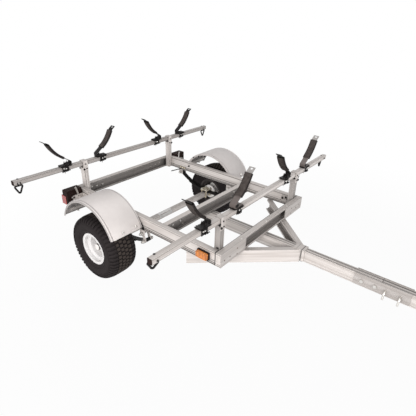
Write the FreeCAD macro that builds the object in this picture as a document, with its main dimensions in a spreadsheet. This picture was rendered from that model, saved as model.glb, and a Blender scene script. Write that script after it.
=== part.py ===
import FreeCAD, Part
import math
import os
import re
import Sketcher
from FreeCAD import Placement, Rotation, Vector

# Light two-wheel trailer with two load bars and eight padded cradle arms.
# +X points forwards along the tongue, +Y to the left, +Z up; the floor is z = 0.
# The origin is on the floor, midway between the coupler's nose and the rails' rear ends.
# Heights are measured from the floor, and lengths along X from the axle.

doc = FreeCAD.newDocument("boat_trailer")
sheet = doc.addObject("Spreadsheet::Sheet", "Sizes")

DIMENSIONS = {
    # Reach of the coupler's nose ahead of the axle
    "nose_reach": 2887,
    # Wheels and tyres
    "wheel_gap": 24,
    "tyre_diameter": 470,
    "tyre_width": 216,
    "tyre_wall": 9,
    "bead_diameter": 203,
    "bead_spread": 178,
    "tread_width": 160,
    "shoulder_drop": 13,
    "rim_flange": 17,
    "rim_wall": 3,
    "rim_well": 22,
    "disc_inset": 6,
    "bead_clearance": 0.3,
    "hub_flange_diameter": 132,
    "hub_barrel_diameter": 64,
    "hub_nose_diameter": 48,
    "hub_nose_reach": 66,
    "hub_back": 92,
    "stud_circle": 101.6,
    "stud_diameter": 12,
    "nut_size": 19,
    "spindle_diameter": 25,
    "running_clearance": 0.05,
    # Axle and springs
    "axle_size": 38,
    "axle_wall": 4,
    "axle_end_gap": 4,
    "spring_wide": 40,
    "leaf_thick": 6.5,
    "second_leaf_share": 0.62,
    "spring_rear_x": 290,
    "spring_rear_drop": 27,
    "spring_front_x": 283,
    "spring_front_drop": 83,
    "shackle_top_x": 268,
    "shackle_top_drop": 27,
    "spring_bolt": 14,
    "eye_wall": 6,
    "hanger_plate": 4,
    "hanger_gap": 0.5,
    "hanger_long": 46,
    "seat_long": 72,
    "seat_low": 1.5,
    "seat_rise": 6.1,
    "seat_wide": 66,
    "ubolt_diameter": 9,
    # Frame
    "frame_width": 1016,
    "rail_wide": 38,
    "rail_tall": 89,
    "rail_top": 488,
    "rail_rear": 449,
    "rail_wall": 3,
    "lip_tall": 7,
    "lip_deep": 2.5,
    "groove_wide": 5,
    "groove_deep": 2,
    "member_deep": 38,
    "member_wall": 4,
    "member_lip": 12,
    "front_member_x": 872,
    "middle_member_x": 418,
    "corner_plate_long": 256,
    "corner_plate_thick": 4,
    "plate_hole": 10,
    "end_plate_thick": 4,
    "post_plate_long": 64,
    "post_plate_tall": 62,
    "post_plate_thick": 5,
    # Tongue and braces
    "tongue_wide": 50,
    "tongue_tall": 76,
    "tongue_wall": 4,
    "tongue_rear_x": 408,
    "tongue_joint_x": 1662,
    "coupler_long": 140,
    "joint_gap": 2,
    "brace_angle": 42.5,
    "brace_ahead": 308,
    "brace_wide": 38,
    "collar_ahead": 24,
    "collar_behind": 52,
    "collar_wide": 68,
    "collar_thick": 4,
    "splice_start_x": 1516,
    "splice_end_x": 1816,
    "splice_tall": 76,
    "splice_rise": 3,
    "splice_thick": 4,
    "splice_bolt_x1": 1560,
    "splice_bolt_x2": 1634,
    "pin_x1": 1690,
    "pin_x2": 1768,
    "pin_diameter": 12,
    "pin_drop": 38,
    "pin_reach": 26,
    # Coupler
    "ball_height": 356,
    "ball_diameter": 50,
    "socket_clearance": 0.6,
    "socket_wall": 6,
    "coupler_sleeve": 72,
    "coupler_wall": 4,
    # Jack
    "jack_back": 440,
    "jack_pivot_height": 361,
    "jack_plate_long": 96,
    "jack_plate_tall": 92,
    "jack_plate_thick": 6,
    "jack_pivot_diameter": 32,
    "jack_flange_diameter": 92,
    "jack_flange_thick": 8,
    "jack_flange_gap": 1,
    "jack_offset": 130,
    "jack_tube_diameter": 46,
    "jack_tube_wall": 3.4,
    "jack_tube_top": 600,
    "jack_tube_bottom": 292,
    "jack_leg_diameter": 38,
    "jack_leg_top": 440,
    "jack_leg_bottom": 176,
    "caster_diameter": 150,
    "caster_wide": 44,
    "caster_trail": 22,
    "fork_wide": 66,
    "fork_plate": 4,
    "caster_gap": 0.3,
    "crank_reach": 110,
    "crank_step": 46,
    "crank_wire": 11,
    "crank_bend": 16,
    # Load bars and posts
    "bar_size": 32,
    "bar_wall": 3,
    "bar_long": 1954,
    "bar_height": 675,
    "rear_bar_x": 430,
    "front_bar_back": 19,
    "post_size": 38,
    "post_wall": 3,
    "post_gap": 1,
    "post_top_gap": 18,
    "saddle_wall": 4,
    "saddle_leg": 44,
    "cap_thick": 3,
    # Cradle arms
    "cradle_outward": 153,
    "cradle_inward": 156,
    "arm_wide": 40,
    "arm_thick": 5,
    "arm_reach": 140,
    "arm_rise": 198,
    "arm_foot": 38,
    "arm_heel": 44,
    "arm_bend": 9,
    "tip_slot_long": 16,
    "tip_slot_wide": 14,
    "pad_wide": 54,
    "pad_thick": 19,
    "clamp_pad_long": 84,
    "clamp_pad_wide": 46,
    "clamp_pad_thick": 6,
    "clamp_long": 50,
    "clamp_wall": 4,
    "clamp_shift": 6,
    "clamp_stud": 8,
    "clamp_stud_drop": 12,
    # Tie-down rings
    "ring_inset": 32,
    "ring_turn": 30,
    "ring_tilt": 20,
    "front_ring_back": 15,
    "ring_bend": 8,
    "ring_drop": 10,
    "ring_block_long": 30,
    "ring_block_tall": 26,
    "ring_block_deep": 5,
    "ring_wire": 6,
    "ring_wide": 58,
    "ring_tall": 52,
    # Fenders
    "fender_radius": 282,
    "fender_height": 319,
    "fender_angle": 139,
    "fender_gap": 4,
    "fender_wide": 248,
    "fender_sheet": 2.5,
    "fender_lip": 16,
    "fender_bracket_wide": 32,
    "fender_bracket_thick": 4,
    # Lamps
    "lamp_wide": 126,
    "lamp_tall": 112,
    "lamp_body_deep": 64,
    "lens_deep": 12,
    "lamp_front_x": 405,
    "lamp_gap": 2,
    "lamp_rise": 16,
    "side_lens_long": 43,
    "side_lens_tall": 69,
    "side_lens_thick": 3,
    "lamp_plate": 4,
    "lamp_plate_tall": 46,
    "lamp_plate_up": 20,
    "lamp_foot_long": 60,
    "marker_back": 82,
    "marker_drop": 0,
    "marker_long": 86,
    "marker_tall": 48,
    "marker_base": 14,
    "marker_lens": 16,
    "marker_corner": 6,
}

for row, (name, number) in enumerate(DIMENSIONS.items(), start=1):
    sheet.set(f"A{row}", name)
    sheet.set(f"B{row}", str(number))
    sheet.setAlias(f"B{row}", name)
doc.recompute()

ALIASES = re.compile(r"\b(" + "|".join(sorted(DIMENSIONS, key=len, reverse=True)) + r")\b")


def bound(text):
    """The expression with each size written as a reference to its cell."""
    return ALIASES.sub(r"Sizes.\1", str(text))


def value(text):
    """The expression's present value as a number."""
    return float(sheet.evalExpression(bound(text)))


# Places worked out from the sizes
AXLE_X = "((rail_rear + member_deep - nose_reach) / 2)"
WHEEL_Y = "(frame_width / 2 + wheel_gap + tyre_width / 2)"
WHEEL_Z = "(tyre_diameter / 2)"
RAIL_BOTTOM = "(rail_top - rail_tall)"
RAIL_OUTER = "(frame_width / 2)"
RAIL_INNER = "(frame_width / 2 - rail_wide)"
TONGUE_TOP = RAIL_BOTTOM
TONGUE_FRONT = "(nose_reach - coupler_long)"
BRACE_MEET = "(front_member_x + brace_ahead)"
FRONT_BAR = "(front_member_x - front_bar_back)"
MARKER_X = "(front_member_x - marker_back)"
JACK_X = "(nose_reach - jack_back)"
TONGUE_BOTTOM = f"({RAIL_BOTTOM} - tongue_tall)"
AXLE_TOP = f"({WHEEL_Z} + axle_size / 2)"
SPRING_Y = "(frame_width / 2 - rail_wide / 2)"
BALL_X = "(nose_reach - ball_diameter / 2 - socket_clearance - socket_wall)"
BAR_TOP = "(bar_height + bar_size / 2)"
BAR_BOTTOM = "(bar_height - bar_size / 2)"
POST_Y = "(frame_width / 2 - rail_wide - post_gap - post_size / 2)"
RING_Y = "(bar_long / 2 - ring_inset)"
CRADLE_OUTER = f"({POST_Y} + cradle_outward)"
CRADLE_INNER = f"({POST_Y} - cradle_inward)"
FENDER_INNER = "(frame_width / 2 + fender_gap)"
FENDER_OUTER = "(frame_width / 2 + fender_gap + fender_wide)"
SPRING_REAR_Z = "(rail_top - rail_tall - spring_rear_drop)"
SPRING_FRONT_Z = "(rail_top - rail_tall - spring_front_drop)"
SHACKLE_TOP_Z = "(rail_top - rail_tall - shackle_top_drop)"
JACK_Y = "jack_offset"
SIDES = {"right": -1, "left": 1}
nodes = {}


def along(distance):
    """X place of a point that lies the distance ahead of the axle."""
    return f"({AXLE_X} + ({distance}))"


def place(thing, x="0", y="0", z="0", rotation=None):
    """Put an object at bound coordinates, turned by a fixed rotation."""
    if rotation is not None:
        thing.Placement = Placement(Vector(), rotation)
    for axis, text in zip("xyz", (x, y, z)):
        thing.setExpression(f".Placement.Base.{axis}", bound(text))
    return thing


def node(label, thing):
    """Give a finished sub-part its own label."""
    thing.Label = label
    nodes[label] = thing
    return thing


def box(name, long, wide, tall, x, y, z, rotation=None):
    """A block with its low corner at x, y, z."""
    block = doc.addObject("Part::Box", name)
    for key, text in (("Length", long), ("Width", wide), ("Height", tall)):
        block.setExpression(key, bound(text))
    return place(block, x, y, z, rotation)


UP = Rotation()
TO_LEFT = Rotation(Vector(1, 0, 0), -90)
FORWARDS = Rotation(Vector(0, 1, 0), 90)


def cylinder(name, diameter, length, x, y, z, rotation=UP):
    """A round bar that starts at x, y, z and runs along the turned axis."""
    rod = doc.addObject("Part::Cylinder", name)
    rod.setExpression("Radius", bound(f"({diameter}) / 2"))
    rod.setExpression("Height", bound(length))
    return place(rod, x, y, z, rotation)


def fuse(name, pieces):
    """One solid out of pieces that touch or cross."""
    joined = doc.addObject("Part::MultiFuse", name)
    joined.Shapes = pieces
    joined.Refine = True
    return joined


def cut(name, base, tools):
    """The base with the tools taken away."""
    if len(tools) > 1:
        tool = doc.addObject("Part::Compound", f"{name}_tools")
        tool.Links = tools
    else:
        tool = tools[0]
    result = doc.addObject("Part::Cut", name)
    result.Base = base
    result.Tool = tool
    return result


def common(name, base, tool):
    """What two pieces share."""
    result = doc.addObject("Part::Common", name)
    result.Base = base
    result.Tool = tool
    return result


def together(name, pieces):
    """Separate solids of one node."""
    group = doc.addObject("Part::Compound", name)
    group.Links = pieces
    return group


def shaped(name, shape, x="0", y="0", z="0", rotation=None):
    """A piece whose shape comes from the sheet through Part's own functions."""
    feature = doc.addObject("Part::Feature", name)
    feature.Shape = shape
    return place(feature, x, y, z, rotation)


def origin_plane(body, role):
    """One of a body's own origin planes or axes."""
    return next(item for item in body.Origin.OriginFeatures if item.Role == role)


def sketch_on(body, role, loops, circles=()):
    """A sketch of closed outlines whose corners are bound to the sheet."""
    sketch = body.newObject("Sketcher::SketchObject", f"{body.Name}_sketch")
    sketch.AttachmentSupport = (origin_plane(body, role), [""])
    sketch.MapMode = "FlatFace"
    for loop in loops:
        first = sketch.GeometryCount
        corners = [(value(across), value(up)) for across, up in loop]
        count = len(corners)
        for index in range(count):
            start = Vector(*corners[index], 0)
            end = Vector(*corners[(index + 1) % count], 0)
            sketch.addGeometry(Part.LineSegment(start, end), False)
        for index in range(count):
            following = first + (index + 1) % count
            sketch.addConstraint(Sketcher.Constraint("Coincident", first + index, 2, following, 1))
        for index, pair in enumerate(loop):
            for kind, text, number in zip(("DistanceX", "DistanceY"), pair, corners[index]):
                fixed = Sketcher.Constraint(kind, -1, 1, first + index, 1, number)
                key = sketch.addConstraint(fixed)
                sketch.setExpression(f"Constraints[{key}]", bound(text))
    for across, up, radius in circles:
        centre = Vector(value(across), value(up), 0)
        ring = sketch.addGeometry(Part.Circle(centre, Vector(0, 0, 1), value(radius)), False)
        for kind, text in (("DistanceX", across), ("DistanceY", up)):
            fixed = Sketcher.Constraint(kind, -1, 1, ring, 3, value(text))
            key = sketch.addConstraint(fixed)
            sketch.setExpression(f"Constraints[{key}]", bound(text))
        key = sketch.addConstraint(Sketcher.Constraint("Radius", ring, value(radius)))
        sketch.setExpression(f"Constraints[{key}]", bound(radius))
    return sketch


def prism(name, role, loops, length, symmetric=False, circles=()):
    """A body padded from outlines on one of its origin planes."""
    body = doc.addObject("PartDesign::Body", name)
    pad = body.newObject("PartDesign::Pad", f"{name}_pad")
    pad.Profile = sketch_on(body, role, loops, circles)
    pad.setExpression("Length", bound(length))
    pad.SideType = "Symmetric" if symmetric else "One side"
    body.Tip = pad
    return body


def turned(name, loops, angle="360"):
    """A body turned about the Y axis, from outlines of (Y, radius)."""
    body = doc.addObject("PartDesign::Body", name)
    spin = body.newObject("PartDesign::Revolution", f"{name}_revolution")
    spin.Profile = sketch_on(body, "YZ_Plane", loops)
    spin.ReferenceAxis = (origin_plane(body, "Y_Axis"), [""])
    spin.setExpression("Angle", bound(angle))
    spin.Midplane = value(angle) < 360
    body.Tip = spin
    return body


def rectangle(low_across, high_across, low_up, high_up):
    """Corners of an upright rectangle."""
    return [(low_across, low_up), (high_across, low_up), (high_across, high_up), (low_across, high_up)]


def hollow(low_across, high_across, low_up, high_up, wall):
    """Outer and inner outlines of a rectangular tube."""
    inner = rectangle(f"{low_across} + {wall}", f"{high_across} - {wall}",
                      f"{low_up} + {wall}", f"{high_up} - {wall}")
    return [rectangle(low_across, high_across, low_up, high_up), inner]


# Side rails: a box section with a raised lip along each outer edge and two grooves inside
def side_rail(name, side):
    outer = f"({side} * {RAIL_OUTER})"
    inner = f"({side} * {RAIL_INNER})"
    recess = f"({side} * ({RAIL_OUTER} - lip_deep))"
    groove = f"({side} * ({RAIL_INNER} + groove_deep))"
    profile = [(inner, RAIL_BOTTOM), (outer, RAIL_BOTTOM), (outer, f"{RAIL_BOTTOM} + lip_tall"),
               (recess, f"{RAIL_BOTTOM} + lip_tall"), (recess, "rail_top - lip_tall"),
               (outer, "rail_top - lip_tall"), (outer, "rail_top"), (inner, "rail_top")]
    for start in (5, 2):
        low = f"{RAIL_BOTTOM} + {start} * groove_wide"
        high = f"{RAIL_BOTTOM} + {start + 1} * groove_wide"
        profile += [(inner, high), (groove, high), (groove, low), (inner, low)]
    cavity = rectangle(f"{side} * ({RAIL_INNER} + groove_deep + rail_wall)",
                       f"{side} * ({RAIL_OUTER} - lip_deep - rail_wall)",
                       f"{RAIL_BOTTOM} + rail_wall", "rail_top - rail_wall")
    rail = prism(name, "YZ_Plane", [profile, cavity], "front_member_x + rail_rear + member_deep")
    return place(rail, along("-rail_rear - member_deep"))


for label, side in SIDES.items():
    node(f"rail_{label}", side_rail(f"rail_{label}", side))


# Cross members: channels with lipped flanges, open towards the tongue
def channel(name, width, height, long):
    low, high = f"(rail_top - {height})", "rail_top"
    profile = [("0", low), ("member_deep", low), ("member_deep", f"{low} + member_lip"),
               ("member_deep - member_wall", f"{low} + member_lip"),
               ("member_deep - member_wall", f"{low} + member_wall"),
               ("member_wall", f"{low} + member_wall"), ("member_wall", f"{high} - member_wall"),
               ("member_deep - member_wall", f"{high} - member_wall"),
               ("member_deep - member_wall", f"{high} - member_lip"),
               ("member_deep", f"{high} - member_lip"), ("member_deep", high), ("0", high)]
    return prism(name, "XZ_Plane", [profile], width, symmetric=True)


front_channel = place(channel("member_front_channel", "frame_width", "rail_tall", ""), along("front_member_x"))
ends = [box(f"member_end_{label}", "member_deep", "end_plate_thick", "rail_tall", along("front_member_x"),
            f"{side} * ({RAIL_OUTER} - end_plate_thick / 2) - end_plate_thick / 2", RAIL_BOTTOM)
        for label, side in SIDES.items()]
node("member_front", fuse("member_front", [front_channel] + ends))
node("member_middle", place(channel("member_middle", f"2 * {RAIL_INNER}", "rail_tall", ""),
                            along("middle_member_x")))
node("member_rear", place(channel("member_rear", f"2 * {RAIL_INNER}", "rail_tall", ""),
                          along("-rail_rear - member_deep")))

# Corner plates close the front member's open side at both ends
plates = []
for label, side in SIDES.items():
    low = f"{side} * ({RAIL_OUTER} - corner_plate_long / 2) - corner_plate_long / 2"
    plate = box(f"corner_plate_{label}", "corner_plate_thick", "corner_plate_long", "rail_tall",
                along("front_member_x + member_deep"), low, RAIL_BOTTOM)
    drills = []
    for number, (inward, up) in enumerate(((36, 36), (90, 35), (164, 16), (164, 56))):
        drills.append(cylinder(f"corner_hole_{label}_{number}", "plate_hole", "corner_plate_thick + 2",
                               along("front_member_x + member_deep - 1"),
                               f"{side} * ({RAIL_OUTER} - {inward})", f"{RAIL_BOTTOM} + {up}", FORWARDS))
    plates.append(cut(f"corner_plate_{label}_drilled", plate, drills))
node("corner_plates", together("corner_plates", plates))

# Post plates on the rails' inner faces, just behind the front posts
post_plates = [box(f"post_plate_{label}", "post_plate_long", "post_plate_thick", "post_plate_tall",
                   along(f"{FRONT_BAR} - post_size / 2 - 1 - post_plate_long"),
                   f"{side} * ({RAIL_INNER} - post_plate_thick / 2) - post_plate_thick / 2",
                   "rail_top - 8 - post_plate_tall")
               for label, side in SIDES.items()]
node("post_plates", together("post_plates", post_plates))


# Tongue tubes: a box section with two grooves along the top
def tongue_tube(name, start, end):
    half = "tongue_wide / 2"
    groove = "groove_wide"
    top = TONGUE_TOP
    bottom = TONGUE_BOTTOM
    profile = [(f"-{half}", bottom), (half, bottom), (half, top)]
    for centre in ("tongue_wide / 5", "-tongue_wide / 5"):
        profile += [(f"{centre} + {groove} / 2", top), (f"{centre} + {groove} / 2", f"{top} - groove_deep"),
                    (f"{centre} - {groove} / 2", f"{top} - groove_deep"), (f"{centre} - {groove} / 2", top)]
    profile.append((f"-{half}", top))
    cavity = rectangle(f"-{half} + tongue_wall", f"{half} - tongue_wall",
                       f"{bottom} + tongue_wall", f"{top} - tongue_wall - groove_deep")
    tube = prism(name, "YZ_Plane", [profile, cavity], f"{end} - ({start})")
    return place(tube, along(start))


def cross_drills(name, places, diameter, height):
    """Rods across the tongue, for the holes that bolts and pins go through."""
    return [cylinder(f"{name}_{index}", diameter, "tongue_wide + 4 * splice_thick", along(spot),
                     "-tongue_wide / 2 - 2 * splice_thick", height, TO_LEFT)
            for index, spot in enumerate(places)]


TONGUE_MIDDLE = f"({TONGUE_TOP} - tongue_tall / 2)"
BOLT_SPOTS = ("splice_bolt_x1", "splice_bolt_x2")
PIN_SPOTS = ("pin_x1", "pin_x2")
PIN_HOLE = "pin_diameter + 2 * running_clearance"
rear_tube = tongue_tube("tongue_rear_tube", "tongue_rear_x", "tongue_joint_x - joint_gap / 2")
node("tongue_rear", cut("tongue_rear", rear_tube,
                        cross_drills("rear_bolt_hole", BOLT_SPOTS, PIN_HOLE, TONGUE_MIDDLE)))
front_tube = tongue_tube("tongue_front_tube", "tongue_joint_x + joint_gap / 2", TONGUE_FRONT)
node("tongue_front", cut("tongue_front", front_tube,
                         cross_drills("front_pin_hole", PIN_SPOTS, PIN_HOLE, TONGUE_MIDDLE)))

# Splice plates stand on both sides of the tongue joint
splices = []
for label, side in SIDES.items():
    low = f"{side} * (tongue_wide / 2 + splice_thick / 2) - splice_thick / 2"
    plate = box(f"splice_{label}", "splice_end_x - splice_start_x", "splice_thick", "splice_tall",
                along("splice_start_x"), low, f"{TONGUE_MIDDLE} - splice_tall / 2 + splice_rise")
    splices.append(cut(f"splice_{label}_drilled", plate,
                       cross_drills(f"splice_hole_{label}", BOLT_SPOTS + PIN_SPOTS, PIN_HOLE, TONGUE_MIDDLE)))
node("splice_plates", together("splice_plates", splices))

# Two bolts hold the plates to the rear tube
bolts = []
for index, spot in enumerate(BOLT_SPOTS):
    half = "(tongue_wide / 2 + splice_thick)"
    shank = cylinder(f"splice_bolt_shank_{index}", "pin_diameter", f"2 * {half} + 16", along(spot),
                     f"-{half} - 8", TONGUE_MIDDLE, TO_LEFT)
    head = cylinder(f"splice_bolt_head_{index}", "1.7 * pin_diameter", "8", along(spot),
                    f"-{half} - 8", TONGUE_MIDDLE, TO_LEFT)
    nut = cylinder(f"splice_bolt_nut_{index}", "1.7 * pin_diameter", "8", along(spot), half,
                   TONGUE_MIDDLE, TO_LEFT)
    bolts.append(fuse(f"splice_bolt_{index}", [shank, head, nut]))
node("splice_bolts", together("splice_bolts", bolts))


# Bent hitch pins: a shank through the joint and an arm that hangs down on the right
def bent_rod(points, radius, diameter):
    """A round rod along straight runs joined by arcs."""
    edges = []
    last = points[0]
    for index in range(1, len(points) - 1):
        before, corner, after = points[index - 1], points[index], points[index + 1]
        back = (before - corner).normalize()
        ahead = (after - corner).normalize()
        half = back.getAngle(ahead) / 2
        start = corner + back * (radius / math.tan(half))
        end = corner + ahead * (radius / math.tan(half))
        middle = corner + (back + ahead).normalize() * (radius / math.sin(half) - radius)
        if (start - last).Length > 1e-6:
            edges.append(Part.LineSegment(last, start).toShape())
        edges.append(Part.Arc(start, middle, end).toShape())
        last = end
    if (points[-1] - last).Length > 1e-6:
        edges.append(Part.LineSegment(last, points[-1]).toShape())
    spine = Part.Wire(edges)
    first = points[1] - points[0]
    section = Part.Wire(Part.makeCircle(diameter / 2, points[0], first))
    return spine.makePipeShell([section], True, False)


pins = []
for index, spot in enumerate(PIN_SPOTS):
    reach = value("tongue_wide / 2 + splice_thick + pin_reach")
    drop = value("pin_drop")
    wire = bent_rod([Vector(0, reach, 0), Vector(0, -reach, 0), Vector(0, -reach - 10, -drop)],
                    value("pin_diameter"), value("pin_diameter"))
    pins.append(shaped(f"hitch_pin_{index}", wire, along(spot), "0", TONGUE_MIDDLE))
node("hitch_pins", together("hitch_pins", pins))


# Diagonal braces: channels from the tongue out to the side rails, open to the rear
def brace(name, side):
    low, high = f"({TONGUE_TOP} - rail_tall)", TONGUE_TOP
    outer, inner = "0", f"({-side} * brace_wide)"
    wall = f"({-side} * member_wall)"
    lip = f"({-side} * (brace_wide - member_wall))"
    profile = [(outer, low), (inner, low), (inner, f"{low} + member_lip"), (lip, f"{low} + member_lip"),
               (lip, f"{low} + member_wall"), (wall, f"{low} + member_wall"),
               (wall, f"{high} - member_wall"), (lip, f"{high} - member_wall"),
               (lip, f"{high} - member_lip"), (inner, f"{high} - member_lip"), (inner, high), (outer, high)]
    beam = prism(f"{name}_beam", "YZ_Plane", [profile], f"{RAIL_OUTER} * 3", symmetric=True)
    place(beam, along(BRACE_MEET), f"{side} * tongue_wide / 2", "0", Rotation(Vector(0, 0, 1), 1))
    beam.setExpression(".Placement.Rotation.Angle", bound(f"{-side} * brace_angle"))
    wide = f"({RAIL_OUTER} - tongue_wide / 2)"
    end = f"({wide} / tan(brace_angle))"
    frame = box(f"{name}_bound", end, wide, "rail_tall", along(f"{BRACE_MEET} - {end}"),
                f"{side} * (tongue_wide / 2 + {wide} / 2) - {wide} / 2", low)
    return common(name, beam, frame)


for label, side in SIDES.items():
    node(f"brace_{label}", brace(f"brace_{label}", side))

# Collar over the meeting of tongue and braces
collar_top = box("collar_top", "collar_ahead + collar_behind", "collar_wide", "collar_thick",
                 along(f"{BRACE_MEET} - collar_behind"), "-collar_wide / 2", TONGUE_TOP)
cheeks = []
for label, side in SIDES.items():
    cheeks.append(box(f"collar_cheek_{label}", "collar_ahead - 1", "collar_thick",
                      "tongue_tall + collar_thick", along(f"{BRACE_MEET} + 1"),
                      f"{side} * (tongue_wide / 2 + collar_thick / 2) - collar_thick / 2", TONGUE_BOTTOM))
node("tongue_collar", fuse("tongue_collar", [collar_top] + cheeks))

# Coupler: a sleeve over the tongue's end that narrows into the ball socket
sleeve_long = value("coupler_sleeve")
half_wide = value("tongue_wide / 2 + coupler_wall")
wall = value("coupler_wall")
top = value(TONGUE_TOP)
ball = value("ball_height")
socket = value("ball_diameter / 2 + socket_clearance")
shell = socket + value("socket_wall")
reach = value(f"{BALL_X} - {TONGUE_FRONT}")


def cross_section(x, half, low, high, corner):
    """A rounded rectangle across X."""
    block = Part.makeBox(1, 2 * half, high - low, Vector(x, -half, low))
    edges = [edge for edge in block.Edges if abs(edge.Vertexes[0].X - edge.Vertexes[-1].X) > 0.5]
    rounded = block.makeFillet(corner, edges)
    flat = min(rounded.Faces, key=lambda item: item.CenterOfMass.x)
    return flat.OuterWire


sleeve = Part.makeBox(sleeve_long, 2 * half_wide, top + wall - (top - value("tongue_tall")),
                      Vector(-sleeve_long, -half_wide, top - value("tongue_tall")))
sleeve = sleeve.cut(Part.makeBox(sleeve_long + 2, value("tongue_wide"), value("tongue_tall"),
                                 Vector(-sleeve_long - 1, -value("tongue_wide") / 2, top - value("tongue_tall"))))
neck_low = ball - 18
neck = Part.makeLoft([cross_section(0, half_wide, top - value("tongue_tall"), top + wall, 6),
                      cross_section(reach * 0.55, shell * 0.82, neck_low, top - 4, 12),
                      cross_section(reach, shell * 0.8, neck_low, ball + shell - 4, 14)], True, False)
nose = Part.makeSphere(shell, Vector(reach, 0, ball))
skirt = Part.makeCylinder(shell, 18, Vector(reach, 0, ball - 18))
below = Part.makeBox(4 * shell, 4 * shell, 2 * shell, Vector(reach - 2 * shell, -2 * shell, neck_low - 2 * shell))
cup = Part.makeSphere(socket, Vector(reach, 0, ball))
cup = cup.fuse(Part.makeCylinder(socket, 2 * shell, Vector(reach, 0, ball - 2 * shell)))
coupler_shape = sleeve.fuse([neck, nose, skirt]).cut(below).cut(cup)
node("coupler", shaped("coupler", coupler_shape, along(TONGUE_FRONT)))

# Latch lever on the coupler
lever = bent_rod([Vector(-58, 0, 20), Vector(-8, 0, 34), Vector(22, 0, 8)], 14, 14)
node("coupler_latch", shaped("coupler_latch", lever, along(TONGUE_FRONT), "0", TONGUE_TOP))

# Axle: a square tube with a spindle at each end
AXLE_HALF = f"({WHEEL_Y} - hub_back - axle_end_gap)"
tube = prism("axle_tube", "XZ_Plane", [rectangle("-axle_size / 2", "axle_size / 2", "-axle_size / 2",
             "axle_size / 2")], f"2 * {AXLE_HALF}", symmetric=True)
spindle = cylinder("axle_spindle", "spindle_diameter", f"2 * ({WHEEL_Y} + hub_nose_reach - 20)", "0",
                   f"-{WHEEL_Y} - hub_nose_reach + 20", "0", TO_LEFT)
node("axle", place(fuse("axle", [tube, spindle]), AXLE_X, "0", WHEEL_Z))


# Leaf springs: two leaves on one arc, with an eye at each end
def leaf_spring():
    """The spring's outline in the XZ plane about the axle, made thick along Y."""
    leaf = value("leaf_thick")
    eye = value("spring_bolt") / 2 + value("eye_wall")
    bore = value("spring_bolt") / 2 + value("running_clearance")
    wide = value("spring_wide")
    rear = Vector(-value("spring_rear_x"), -wide / 2, value(SPRING_REAR_Z))
    front = Vector(value("spring_front_x"), -wide / 2, value(SPRING_FRONT_Z))
    low = Vector(0, -wide / 2, value(AXLE_TOP) + 1.5 * leaf + value("seat_low"))
    arc = Part.Arc(rear, low, front).toShape().Curve
    centre, radius = arc.Center, arc.Radius

    def angle_of(point):
        return math.atan2(point.x - centre.x, centre.z - point.z)

    def point_at(distance, angle):
        return centre + Vector(distance * math.sin(angle), 0, -distance * math.cos(angle))

    def band(inside, outside, start, end):
        middle = (start + end) / 2
        edges = [Part.Arc(point_at(outside, start), point_at(outside, middle), point_at(outside, end)).toShape(),
                 Part.LineSegment(point_at(outside, end), point_at(inside, end)).toShape(),
                 Part.Arc(point_at(inside, end), point_at(inside, middle), point_at(inside, start)).toShape(),
                 Part.LineSegment(point_at(inside, start), point_at(outside, start)).toShape()]
        return Part.Face(Part.Wire(edges)).extrude(Vector(0, wide, 0))

    start, middle, end = angle_of(rear), angle_of(low), angle_of(front)
    body = band(radius - leaf / 2, radius + leaf / 2, start, end)
    share = value("second_leaf_share")
    second = band(radius + leaf / 4, radius + 3 * leaf / 2, middle + (start - middle) * share,
                  middle + (end - middle) * share)
    across = Vector(0, 1, 0)
    body = body.fuse([second] + [Part.makeCylinder(eye, wide, point, across) for point in (rear, front)])
    holes = [Part.makeCylinder(bore, wide + 2, point - across, across) for point in (rear, front)]
    return body.cut(Part.makeCompound(holes)).removeSplitter()


for label, side in SIDES.items():
    node(f"spring_{label}", shaped(f"spring_{label}", leaf_spring(), AXLE_X, f"{side} * {SPRING_Y}"))

# Axle clamps: a plate over each spring and two U-bolts round the axle
clamps = []
for label, side in SIDES.items():
    y = f"({side} * {SPRING_Y})"
    top_plate = f"({AXLE_TOP} + 2 * leaf_thick + seat_rise)"
    plate = box(f"spring_plate_{label}", "seat_long", "seat_wide", "6", along("-seat_long / 2"),
                f"{y} - seat_wide / 2", top_plate)
    rods = []
    for x_side in (-1, 1):
        for y_side in (-1, 1):
            rods.append(cylinder(f"ubolt_{label}_{x_side}_{y_side}", "ubolt_diameter",
                                 f"{top_plate} + 18 - ({WHEEL_Z} - axle_size / 2 - ubolt_diameter)",
                                 along(f"{x_side} * (axle_size / 2 + ubolt_diameter / 2 + 0.5)"),
                                 f"{y} + {y_side} * (seat_wide / 2 - ubolt_diameter / 2 - 2)",
                                 f"{WHEEL_Z} - axle_size / 2 - ubolt_diameter"))
    feet = [box(f"ubolt_foot_{label}_{y_side}", "axle_size + 2 * ubolt_diameter + 1", "ubolt_diameter",
                "ubolt_diameter", along("-axle_size / 2 - ubolt_diameter - 0.5"),
                f"{y} + {y_side} * (seat_wide / 2 - ubolt_diameter / 2 - 2) - ubolt_diameter / 2",
                f"{WHEEL_Z} - axle_size / 2 - ubolt_diameter") for y_side in (-1, 1)]
    clamps.append(fuse(f"axle_clamp_{label}", [plate] + rods + feet))
node("axle_clamps", together("axle_clamps", clamps))

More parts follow.
